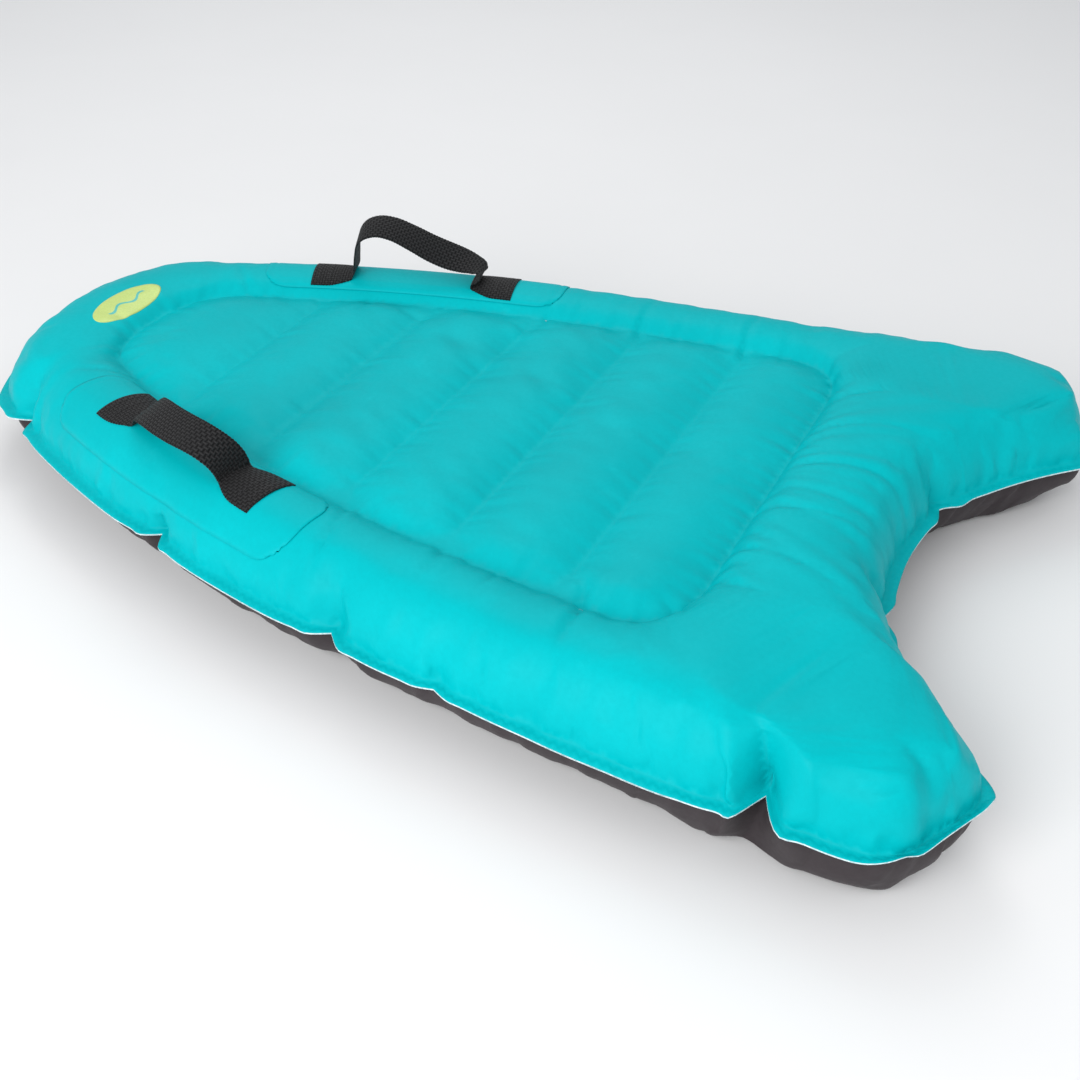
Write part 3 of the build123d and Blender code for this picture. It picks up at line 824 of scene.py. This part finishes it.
def make_patch(name, tree, side):
    """The welded fabric patch under a handle, with its pressed double outline."""
    half_x, low_y, high_y, corner = PATCH
    us = np.arange(-half_x, half_x + 1e-6, 2.5 * MM)
    vs = np.arange(low_y, high_y + 1e-6, 2.5 * MM)
    u, v = np.meshgrid(us, vs, indexing="ij")
    # pull the grid's corners in, so that its border is the patch's rounded outline
    over = np.maximum(round_rect(u, v, *PATCH), 0)
    mid_v = (low_y + high_y) / 2
    du = np.sign(u) * np.maximum(np.abs(u) - half_x + corner, 0)
    dv = np.sign(v - mid_v) * np.maximum(np.abs(v - mid_v) - (high_y - low_y) / 2 + corner, 0)
    reach = np.maximum(np.hypot(du, dv), 1e-9)
    u, v = u - over * du / reach, v - over * dv / reach
    inner = -round_rect(u, v, *PATCH)
    step = 0.5 * smooth_step(inner / (1.2 * MM))
    groove = np.exp(-(((inner - 7 * MM) / (1.1 * MM)) ** 2))
    groove = groove + 0.6 * np.exp(-(((inner - 2.6 * MM) / (0.9 * MM)) ** 2))
    height = (0.1 + step - 0.55 * groove) * MM
    angle = np.arcsin(np.clip(v / TUBE_R, -0.95, 0.95))
    centre, out = tube_axis(u, side)
    ray = out * np.sin(angle)[..., None]
    ray[..., 2] = np.cos(angle)
    points = np.empty(centre.shape)
    for i in np.ndindex(u.shape):
        start = centre[i] + ray[i] * (TUBE_R + 30 * MM)
        hit = tree.ray_cast(Vector(start), Vector(-ray[i]))
        base = np.array(hit[0]) if hit[0] else centre[i] + ray[i] * TUBE_R
        points[i] = base + ray[i] * height[i]
    quads = grid_quads(*u.shape)[0]
    if side > 0:
        quads = quads[:, ::-1]
    piece = mesh_piece(name, points.reshape(-1, 3), quads, np.stack([u.ravel(), v.ravel()], 1))
    return thicken(piece, 0.8 * MM, 0)


# the straps' centrelines: along the handle, outwards, above the tube, lean in degrees, width
LEFT_STRAP = (
    (101.5, 0, 1.6, 0, 51), (92, 0, 1.6, 0, 51), (82, 0, 1.6, 0, 49), (73, 0, 1.6, 0, 44),
    (66, 0, 1.6, 0, 38), (61, 0, 1.7, 0, 34), (57.5, 0.3, 3.0, 0, 32), (55, 1, 7, 4, 31),
    (50, 3, 14, 12, 30), (40, 7, 21, 20, 30), (24, 11, 26.5, 26, 30), (4, 14, 29.5, 29, 30),
    (-18, 15.5, 31.5, 28, 30), (-36, 15, 32, 24, 30), (-48, 12.5, 29, 17, 30.5), (-55.5, 8, 22, 10, 31),
    (-58.5, 3.5, 13, 4, 31.5), (-59, 1, 6, 0, 32), (-60, 0.2, 2.4, 0, 33), (-64, 0, 1.6, 0, 37),
    (-70, 0, 1.6, 0, 43), (-79, 0, 1.6, 0, 49), (-90, 0, 1.6, 0, 51), (-101.5, 0, 1.6, 0, 52),
)
RIGHT_STRAP = (
    (101.5, 0, 1.6, 0, 50), (92, 0, 1.6, 0, 50), (82, 0, 1.6, 0, 49), (73, 0, 1.6, 0, 44),
    (67, 0, 1.6, 0, 38), (62.5, 0, 1.9, 0, 34), (60, 0, 5, 0, 32), (58.5, -1, 14, -6, 31),
    (57, -2, 27, -12, 30), (54, -3, 40, -16, 30), (47, -3, 48, -18, 30), (35, -2.5, 52, -20, 30),
    (20, -2, 50, -24, 30), (2, -1, 42, -30, 30), (-17, 0.5, 32, -36, 30), (-34, 2, 25, -36, 30),
    (-48, 2.5, 21, -26, 30), (-59, 2, 18, -12, 30.5), (-66, 1, 15, -4, 31), (-68, 0, 10.5, 0, 31.5),
    (-64.5, 0, 6.6, 0, 32), (-60, 0, 4.2, 0, 33), (-59.6, 0, 2.4, 0, 34), (-64, 0, 1.6, 0, 37),
    (-70, 0, 1.6, 0, 43), (-79, 0, 1.6, 0, 49), (-90, 0, 1.6, 0, 50), (-101.5, 0, 1.6, 0, 50),
)


def smooth_path(table, step):
    """A smooth curve through the rows of a table, with evenly spaced points."""
    rows = np.array(table, float)
    ends = np.concatenate([2 * rows[:1] - rows[1:2], rows, 2 * rows[-1:] - rows[-2:-1]])
    knots = np.concatenate([[0], np.cumsum(np.sqrt(np.linalg.norm(np.diff(ends[:, :3], axis=0), axis=1)))])
    out = []
    for i in range(1, len(ends) - 2):
        p = ends[i - 1 : i + 3]
        t0, t1, t2, t3 = knots[i - 1 : i + 3]
        t = np.linspace(t1, t2, 24, endpoint=False)[:, None]
        a1 = (t1 - t) / (t1 - t0) * p[0] + (t - t0) / (t1 - t0) * p[1]
        a2 = (t2 - t) / (t2 - t1) * p[1] + (t - t1) / (t2 - t1) * p[2]
        a3 = (t3 - t) / (t3 - t2) * p[2] + (t - t2) / (t3 - t2) * p[3]
        b1 = (t2 - t) / (t2 - t0) * a1 + (t - t0) / (t2 - t0) * a2
        b2 = (t3 - t) / (t3 - t1) * a2 + (t - t1) / (t3 - t1) * a3
        out.append((t2 - t) / (t2 - t1) * b1 + (t - t1) / (t2 - t1) * b2)
    out = np.concatenate(out + [rows[-1:]])
    run = np.concatenate([[0], np.cumsum(np.linalg.norm(np.diff(out[:, :3], axis=0), axis=1))])
    at = np.linspace(0, run[-1], int(run[-1] / step) + 1)
    return np.stack([np.interp(at, run, out[:, k]) for k in range(out.shape[1])], 1), at


def strap_layers(table):
    """A handle's webbing in one length: tab, loop, tab, as its upper and lower face."""
    path, run = smooth_path(table, 1.0)
    pos = path[:, :3] * MM
    tangent = np.gradient(pos, axis=0)
    tangent /= np.linalg.norm(tangent, axis=1)[:, None]
    lean = np.radians(path[:, 3])
    width = path[:, 4] * MM
    columns = 27
    share = np.linspace(-0.5, 0.5, columns)
    free = smooth_step((path[:, 2] - 1.62) / 4.0)
    half = TAB_HIGH / 2 - TAB_LOW / 2
    outward, upward = np.array([0, 1.0, 0]), np.array([0, 0, 1.0])
    layers = {1: [], -1: []}
    for i in range(len(pos)):
        wide = outward * math.cos(lean[i]) - upward * math.sin(lean[i])
        wide = wide - tangent[i] * (wide @ tangent[i])
        wide /= np.linalg.norm(wide)
        normal = np.cross(tangent[i], wide)
        across = share * width[i]
        fray = 0.25 * MM * math.sin(run[i] * 2.1) * (np.abs(share) > 0.49)
        across = across + np.sign(share) * fray
        edge = 1 - 0.35 * smooth_step((np.abs(share) - 0.42) / 0.08)
        cup = 1.6 * MM * (share * 2) ** 2 * free[i]
        for top in (1, -1):
            high = path[i, 2] * MM + top * half * edge
            flat_place = on_tube(np.full(columns, pos[i, 0]), across, high)
            rise = top * half * edge * np.sign(normal[2] or -1)
            local = pos[i][None] + across[:, None] * wide + rise[:, None] * normal
            local = local - cup[:, None] * upward * 0.6
            bend = on_tube(np.array(local[:, 0]), np.zeros(columns), np.zeros(columns))
            turn = HANDLE_TURN + local[:, 0] / AXIS_RADIUS
            out_dir = np.stack([np.sin(turn), np.cos(turn), np.zeros(columns)], 1)
            loop_place = bend + out_dir * local[:, 1:2]
            loop_place[:, 2] += local[:, 2]
            layers[top].append(flat_place * (1 - free[i]) + loop_place * free[i])
    return run, layers, width, share


def strap_piece(name, table, side):
    """The strap's mesh: two faces and its edges, for one side of the board."""
    run, layers, width, share = strap_layers(table)
    rows, columns = len(run), len(share)
    centre_line = (np.array(layers[1]) + np.array(layers[-1])) / 2
    du = np.gradient(centre_line, axis=0)
    dv = np.gradient(centre_line, axis=1)
    normal = np.cross(du, dv)
    normal /= np.maximum(np.linalg.norm(normal, axis=2), 1e-9)[..., None]
    if normal[2, columns // 2, 2] < 0:
        normal = -normal
    half = (TAB_HIGH - TAB_LOW) / 2
    edge = 1 - 0.4 * smooth_step((np.abs(share) - 0.44) / 0.06)
    phase = np.outer(run, np.ones(columns)) * math.pi / 1.9
    weave = 0.16 * MM * np.sin(phase + np.outer(np.ones(rows), np.arange(columns)) * math.pi)
    top = centre_line + normal * (half * edge)[None, :, None] + normal * weave[..., None] * 0.5
    low = centre_line - normal * (half * edge)[None, :, None]
    verts = np.concatenate([top.reshape(-1, 3), low.reshape(-1, 3)])
    verts = verts * (1, side, 1)
    n = rows * columns
    quads, index = grid_quads(rows, columns)
    faces = [list(q) for q in quads] + [list(q[::-1] + n) for q in quads]
    border = [*index[:, 0], *index[-1, 1:], *index[::-1, -1][1:], *index[0, ::-1][1:-1]]
    for a, b in zip(border, border[1:] + border[:1]):
        faces.append([a, b, b + n, a + n])
    lengthways = np.outer(run * MM, np.ones(columns)).ravel()
    uv = np.stack([lengthways, (share[None] * width[:, None]).ravel()], 1)
    piece = mesh_piece(name, verts, faces, np.concatenate([uv, uv]))
    work = bmesh.new()
    work.from_mesh(piece.data)
    bmesh.ops.recalc_face_normals(work, faces=work.faces)
    work.to_mesh(piece.data)
    work.free()
    return piece


def make_badge(tree):
    """The rounded lime badge on the nose, lying on the deck."""
    low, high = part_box("nose_badge")
    cx, cy = (low.x + high.x) / 2, (low.y + high.y) / 2
    ax, ay = (high.x - low.x) / 2, (high.y - low.y) / 2
    rings, spokes = 26, 120
    verts, uvs = [(cx, cy, 0.3)], [(cx, cy)]
    for r in range(1, rings + 1):
        for k in range(spokes):
            a = 2 * math.pi * k / spokes
            share = r / rings
            x = cx + ax * share * math.cos(a) - 3 * MM * (math.sin(a) ** 2) * share
            y = cy + ay * share * math.copysign(abs(math.sin(a)) ** 0.92, math.sin(a))
            verts.append((x, y, 0.3))
            uvs.append((x, y))
    points = on_deck(tree, verts)
    share = np.array([0] + [r / rings for r in range(1, rings + 1) for _ in range(spokes)])
    points[:, 2] += 0.15 * MM + 0.25 * MM * smooth_step((1 - share) * 14)
    faces = [[0, 1 + k, 1 + (k + 1) % spokes] for k in range(spokes)]
    for r in range(rings - 1):
        a0, b0 = 1 + r * spokes, 1 + (r + 1) * spokes
        for k in range(spokes):
            after = (k + 1) % spokes
            faces.append([a0 + k, b0 + k, b0 + after, a0 + after])
    piece = mesh_piece("badge", points, faces, uvs)
    return thicken(piece, 0.3 * MM, 0)


def make_webs():
    """The internal fabric webs that tie deck to hull, as thin upright strips."""
    verts, faces = [], []
    top = WELD_H - 1.0 * MM
    for line in weld_lines():
        run = resample(line, max(3, int(length_of(line) / 0.012)))
        tangent = unit_rows(np.gradient(run, axis=0))
        side = np.stack([tangent[:, 1], -tangent[:, 0]], 1) * 0.3 * MM
        base = len(verts)
        for (x, y), (sx, sy) in zip(run, side):
            low = -top
            if math.hypot(x - VALVE[0], y - VALVE[1]) < 40 * MM:
                low = -top + 8 * MM
            verts += [(x + sx, y + sy, SEAM_Z + low), (x + sx, y + sy, SEAM_Z + top)]
            verts += [(x - sx, y - sy, SEAM_Z + top), (x - sx, y - sy, SEAM_Z + low)]
        for i in range(len(run) - 1):
            a, b = base + 4 * i, base + 4 * i + 4
            faces += [[a + k, b + k, b + (k + 1) % 4, a + (k + 1) % 4] for k in range(4)]
        last = base + 4 * (len(run) - 1)
        faces += [[base + 3, base + 2, base + 1, base], [last, last + 1, last + 2, last + 3]]
    return mesh_piece("inner_webs", verts, faces, np.array(verts)[:, [0, 2]], smooth=False)


# ---------------- materials
class Nodes:
    """A short way to write a material's node tree."""

    def __init__(self, name):
        self.material = bpy.data.materials.new(name)
        self.material.use_nodes = True
        self.tree = self.material.node_tree
        self.shader = self.tree.nodes["Principled BSDF"]

    def feed(self, socket, value):
        """Link a socket to another, or give it a constant."""
        if isinstance(value, bpy.types.NodeSocket):
            self.tree.links.new(value, socket)
        else:
            socket.default_value = value

    def node(self, kind, **values):
        node = self.tree.nodes.new(kind)
        for key, value in values.items():
            if hasattr(node, key) and not isinstance(value, bpy.types.NodeSocket):
                setattr(node, key, value)
            else:
                self.feed(node.inputs[key.replace("_", " ")], value)
        return node

    def math(self, operation, a, b=0.5):
        node = self.tree.nodes.new("ShaderNodeMath")
        node.operation = operation
        for socket, value in zip(node.inputs, (a, b)):
            self.feed(socket, value)
        return node.outputs[0]

    def noise(self, vector, scale, detail=3.0, rough=0.55):
        node = self.node("ShaderNodeTexNoise", Vector=vector, Scale=scale, Detail=detail, Roughness=rough)
        return node.outputs["Fac"]

    def mix(self, share, first, second):
        node = self.tree.nodes.new("ShaderNodeMix")
        node.data_type = "RGBA"
        for place, value in ((0, share), (6, first), (7, second)):
            self.feed(node.inputs[place], value)
        return node.outputs[2]

    def remap(self, value, low, high, to_low=0.0, to_high=1.0):
        node = self.tree.nodes.new("ShaderNodeMapRange")
        self.tree.links.new(value, node.inputs[0])
        for k, v in enumerate((low, high, to_low, to_high), start=1):
            node.inputs[k].default_value = v
        return node.outputs[0]

    def bump(self, height, strength, distance, below=None):
        node = self.node("ShaderNodeBump", Strength=strength, Distance=distance)
        self.tree.links.new(height, node.inputs["Height"])
        if below is not None:
            self.tree.links.new(below, node.inputs["Normal"])
        return node.outputs[0]

    def finish(self, color, rough, normal=None, **fixed):
        for name, value in (("Base Color", color), ("Roughness", rough), ("Normal", normal)):
            if value is not None:
                self.feed(self.shader.inputs[name], value)
        for name, value in fixed.items():
            self.shader.inputs[name.replace("_", " ")].default_value = value
        return self.material


def coated_fabric(name, low, high, rough, sheen):
    """Woven cloth under a thin coating: a fine grain, a soft mottling and faint rub marks."""
    n = Nodes(name)
    where = n.node("ShaderNodeTexCoord")
    cloth = where.outputs["UV"]
    solid = where.outputs["Object"]
    mottle = n.noise(solid, 9.0, 4.0)
    fine = n.noise(solid, 260.0, 2.0)
    color = n.mix(n.remap(mottle, 0.3, 0.7), low, high)
    rub = n.remap(n.noise(solid, 38.0, 6.0, 0.7), 0.62, 0.8, 0.0, 0.35)
    color = n.mix(rub, color, tuple(min(1, c * 1.12 + 0.01) for c in high[:3]) + (1,))
    dust = n.remap(fine, 0.35, 0.7, 0.0, 0.16)
    color = n.mix(dust, color, tuple(c * 0.82 for c in low[:3]) + (1,))
    warp, weft = (
        n.node("ShaderNodeTexWave", Vector=cloth, bands_direction=way, Scale=420.0, Distortion=0.6)
        for way in "XY"
    )
    grain = n.math("MULTIPLY", warp.outputs["Fac"], weft.outputs["Fac"])
    normal = n.bump(grain, 0.10, 0.0002)
    soft = n.noise(solid, 55.0, 4.0, 0.6)
    normal = n.bump(soft, 0.10, 0.0015, normal)
    broad = n.remap(mottle, 0.3, 0.7, rough - 0.04, rough + 0.05)
    shine = n.math("ADD", broad, n.remap(fine, 0.3, 0.7, -0.03, 0.03))
    return n.finish(color, shine, normal, Sheen_Weight=sheen, Sheen_Roughness=0.45, Specular_IOR_Level=0.05)


def webbing_material(name):
    """Coarse black webbing: blocks of warp and weft ribs set like a basket weave, with the raised ribs
    painted lighter as a highlight.
    """
    n = Nodes(name)
    where = n.node("ShaderNodeTexCoord")
    uv = where.outputs["UV"]
    big = n.node("ShaderNodeMapping", Vector=uv)
    big.inputs["Scale"].default_value = (360.0, 360.0, 1.0)
    checker = n.node("ShaderNodeTexChecker", Vector=big.outputs[0], Scale=1.0)
    across, along = (
        n.node("ShaderNodeTexWave", Vector=uv, bands_direction=way, Scale=112.0) for way in "XY"
    )
    height = n.mix(checker.outputs["Fac"], across.outputs["Color"], along.outputs["Color"])
    gray = n.node("ShaderNodeRGBToBW", Color=height).outputs[0]
    fuzz = n.noise(where.outputs["Object"], 900.0, 2.0)
    # painted highlight: the raised ribs of the weave are coloured lighter than its hollows, standing in for
    # light on their tops
    color = n.mix(n.remap(gray, 0.1, 0.95), (0.0012, 0.0012, 0.0014, 1), (0.020, 0.020, 0.021, 1))
    color = n.mix(n.remap(fuzz, 0.55, 0.8, 0.0, 0.35), color, (0.03, 0.03, 0.032, 1))
    normal = n.bump(gray, 0.9, 0.0008)
    normal = n.bump(fuzz, 0.25, 0.0003, normal)
    rough = n.remap(gray, 0.0, 1.0, 0.8, 0.55)
    return n.finish(color, rough, normal, Sheen_Weight=0.03, Sheen_Roughness=0.5, Specular_IOR_Level=0.2)


def edge_and_highlight_material(name):
    """The bare cut edge of the coated cloth, pale where the coating is missing; the pale colour is also a
    painted highlight along the flange's rim.
    """
    n = Nodes(name)
    where = n.node("ShaderNodeTexCoord").outputs["Object"]
    spots = n.noise(where, 420.0, 3.0)
    # painted highlight: this pale colour stands partly for the bare cloth and partly for light catching the
    # flange's cut rim
    color = n.mix(n.remap(spots, 0.35, 0.65), (0.42, 0.62, 0.66, 1), (0.80, 0.88, 0.90, 1))
    rough = n.remap(spots, 0.3, 0.7, 0.55, 0.8)
    return n.finish(color, rough, n.bump(spots, 0.3, 0.0003), Sheen_Weight=0.1)


def moulded(name, dark, light, rough, speckle=700.0, strength=0.12):
    """Moulded plastic, rubber, metal or thread: a fine grain with soft scuffs."""
    n = Nodes(name)
    where = n.node("ShaderNodeTexCoord").outputs["Object"]
    grain = n.noise(where, speckle, 3.0)
    scuff = n.noise(where, 90.0, 6.0, 0.7)
    color = n.mix(n.remap(scuff, 0.35, 0.7), dark, light)
    normal = n.bump(grain, strength, 0.0002)
    return n.finish(color, n.remap(scuff, 0.3, 0.7, rough - 0.08, rough + 0.1), normal)


def badge_material(name):
    """Plain lime print with one soft wave, and no lettering."""
    n = Nodes(name)
    where = n.node("ShaderNodeTexCoord")
    split = n.node("ShaderNodeSeparateXYZ", Vector=where.outputs["UV"])
    low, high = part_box("nose_badge")
    x = n.math("SUBTRACT", split.outputs[0], (low.x + high.x) / 2 - 1.5 * MM)
    y = split.outputs[1]
    swing = n.math("MULTIPLY", n.math("SINE", n.math("MULTIPLY", y, 2 * math.pi / 0.030)), 0.0028)
    line = n.math("ABSOLUTE", n.math("SUBTRACT", x, swing))
    band = n.remap(line, 0.0010, 0.0016, 1.0, 0.0)
    inside = n.remap(n.math("ABSOLUTE", y), 0.026, 0.028, 1.0, 0.0)
    wave = n.math("MULTIPLY", band, inside)
    print_grain = n.noise(where.outputs["Object"], 600.0, 3.0)
    ground = n.mix(n.remap(print_grain, 0.3, 0.7), (0.46, 0.60, 0.14, 1), (0.55, 0.68, 0.20, 1))
    color = n.mix(wave, ground, (0.05, 0.45, 0.40, 1))
    rough = n.remap(print_grain, 0.3, 0.7, 0.4, 0.55)
    return n.finish(color, rough, n.bump(print_grain, 0.08, 0.0002), Coat_Weight=0.1)


DECK_CLOTH = coated_fabric("deck_cloth", (0.0, 0.405, 0.440, 1), (0.0, 0.462, 0.500, 1), 0.46, 0.0)
HULL_CLOTH = coated_fabric("hull_cloth", (0.040, 0.034, 0.037, 1), (0.062, 0.053, 0.057, 1), 0.58, 0.05)
# the pale rim colour of deck and hull is partly bare cloth and partly a painted highlight
EDGE = edge_and_highlight_material("cut_edge_and_highlight")
WEBBING = webbing_material("webbing_weave")
THREAD = moulded("thread_black", (0.006, 0.006, 0.007, 1), (0.02, 0.02, 0.022, 1), 0.6, 1500.0, 0.3)
WEB_CLOTH = coated_fabric("web_cloth", (0.45, 0.47, 0.47, 1), (0.55, 0.57, 0.57, 1), 0.6, 0.05)
PLASTIC = moulded("valve_moulded", (0.016, 0.016, 0.018, 1), (0.035, 0.035, 0.038, 1), 0.42)
RUBBER = moulded("valve_seal", (0.06, 0.06, 0.06, 1), (0.10, 0.10, 0.10, 1), 0.7, 400.0, 0.2)
PIN = moulded("hinge_metal", (0.5, 0.5, 0.5, 1), (0.62, 0.62, 0.62, 1), 0.35)
PIN.node_tree.nodes["Principled BSDF"].inputs["Metallic"].default_value = 1.0
BADGE = badge_material("badge_print")


def dress(piece, *materials):
    """Give a piece its materials, in the order of its slots."""
    piece.data.materials.clear()
    for material in materials:
        piece.data.materials.append(material)


# ---------------- assembly
deck, hull = make_air_pieces()
deck_faces = [tuple(p.vertices) for p in deck.data.polygons]
tree = BVHTree.FromPolygons([tuple(v) for v in coords(deck.data)], deck_faces)
patches = {1: make_patch("patch_left", tree, 1), -1: make_patch("patch_right", tree, -1)}
badge = make_badge(tree)
straps = {
    1: strap_piece("strap_left", LEFT_STRAP, 1),
    -1: strap_piece("strap_right", RIGHT_STRAP, -1),
}
webs = make_webs()
dress(deck, DECK_CLOTH, EDGE)
dress(hull, HULL_CLOTH, EDGE)
# the rims of deck and hull take the pale edge colour from slot 1, partly a painted highlight along the flange
thicken(deck, SHEET_THICKNESS, 1)
thicken(hull, SHEET_THICKNESS, 1)
for piece in (deck, hull):
    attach(piece, "board")
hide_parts("deck_skin")
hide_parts("hull_skin")
dress(webs, WEB_CLOTH)
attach(webs, "board")
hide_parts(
    *[f"cross_baffle_{k}" for k in range(1, 6)],
    *[f"side_baffle_{side}_{k}" for side in ("left", "right") for k in range(1, 5)],
    "nose_baffle",
    "tail_baffle",
)
dress(badge, BADGE)
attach(badge, "board")
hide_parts("nose_badge")
for side, word in ((1, "left"), (-1, "right")):
    dress(patches[side], DECK_CLOTH)
    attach(patches[side], "board")
    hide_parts(f"handle_{word}_patch")
    strap = straps[side]
    dress(strap, WEBBING)
    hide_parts(f"handle_{word}_grip", f"handle_{word}_front_tab", f"handle_{word}_rear_tab")
    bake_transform(strap)
for node, material in {
    "handle_left_stitching": THREAD,
    "handle_right_stitching": THREAD,
    "valve_base": PLASTIC,
    "valve_insert": PLASTIC,
    "valve_cap": PLASTIC,
    "valve_gasket": RUBBER,
    "valve_check_flap": RUBBER,
    "valve_hinge_pin": PIN,
}.items():
    part = frame["nodes"][node]
    for k in range(len(part.material_slots)):
        part.material_slots[k].material = material

# ---------------- floor, lights and camera
FLOOR_REACH, FLOOR_Z = 8, -0.0005
corners = [(x * FLOOR_REACH, y * FLOOR_REACH, FLOOR_Z) for x, y in ((-1, -1), (1, -1), (1, 1), (-1, 1))]
floor = mesh_piece("floor", corners, [[0, 1, 2, 3]])
ground = Nodes("floor_white")
dots = ground.noise(ground.node("ShaderNodeTexCoord").outputs["Object"], 3.0)
dress(floor, ground.finish(ground.mix(dots, (0.80, 0.80, 0.80, 1), (0.83, 0.83, 0.83, 1)), 0.7))

scene = bpy.context.scene
scene.view_settings.view_transform = "Standard"
world = bpy.data.worlds.new("studio")
scene.world = world
world.use_nodes = True
background = world.node_tree.nodes["Background"]
background.inputs[0].default_value = (0.95, 0.97, 1.0, 1)
background.inputs[1].default_value = 0.60
for name, place, size, power in (
    ("key", (0.2, 2.1, 1.25), 1.6, 48),
    ("fill", (-1.8, 0.6, 1.5), 1.6, 8),
    ("back", (0.8, -1.4, 2.0), 1.2, 13),
):
    light = bpy.data.lights.new(name, "AREA")
    light.size, light.energy = size, power
    lamp = bpy.data.objects.new(name, light)
    lamp.location = place
    lamp.rotation_euler = (Vector((0, 0, 0)) - lamp.location).to_track_quat("-Z", "Y").to_euler()
    scene.collection.objects.link(lamp)

camera = bpy.data.cameras.new("camera")
camera.sensor_width, camera.lens = 36.0, 46.1
eye = bpy.data.objects.new("camera", camera)
scene.collection.objects.link(eye)
azimuth, elevation, roll = math.radians(205.25), math.radians(35.55), math.radians(1.2)
level = math.cos(elevation)
back = Vector((math.sin(azimuth) * level, -math.cos(azimuth) * level, math.sin(elevation)))
right = Vector((math.cos(azimuth), math.sin(azimuth), 0))
up = back.cross(right)
side_axis = right * math.cos(roll) + up * math.sin(roll)
up_axis = up * math.cos(roll) - right * math.sin(roll)
CAMERA_PLACE = (-0.478, 0.910, 0.6905)
rows = [(side_axis[k], up_axis[k], back[k], CAMERA_PLACE[k]) for k in range(3)]
eye.matrix_world = Matrix(rows + [(0, 0, 0, 1)])
scene.camera = eye
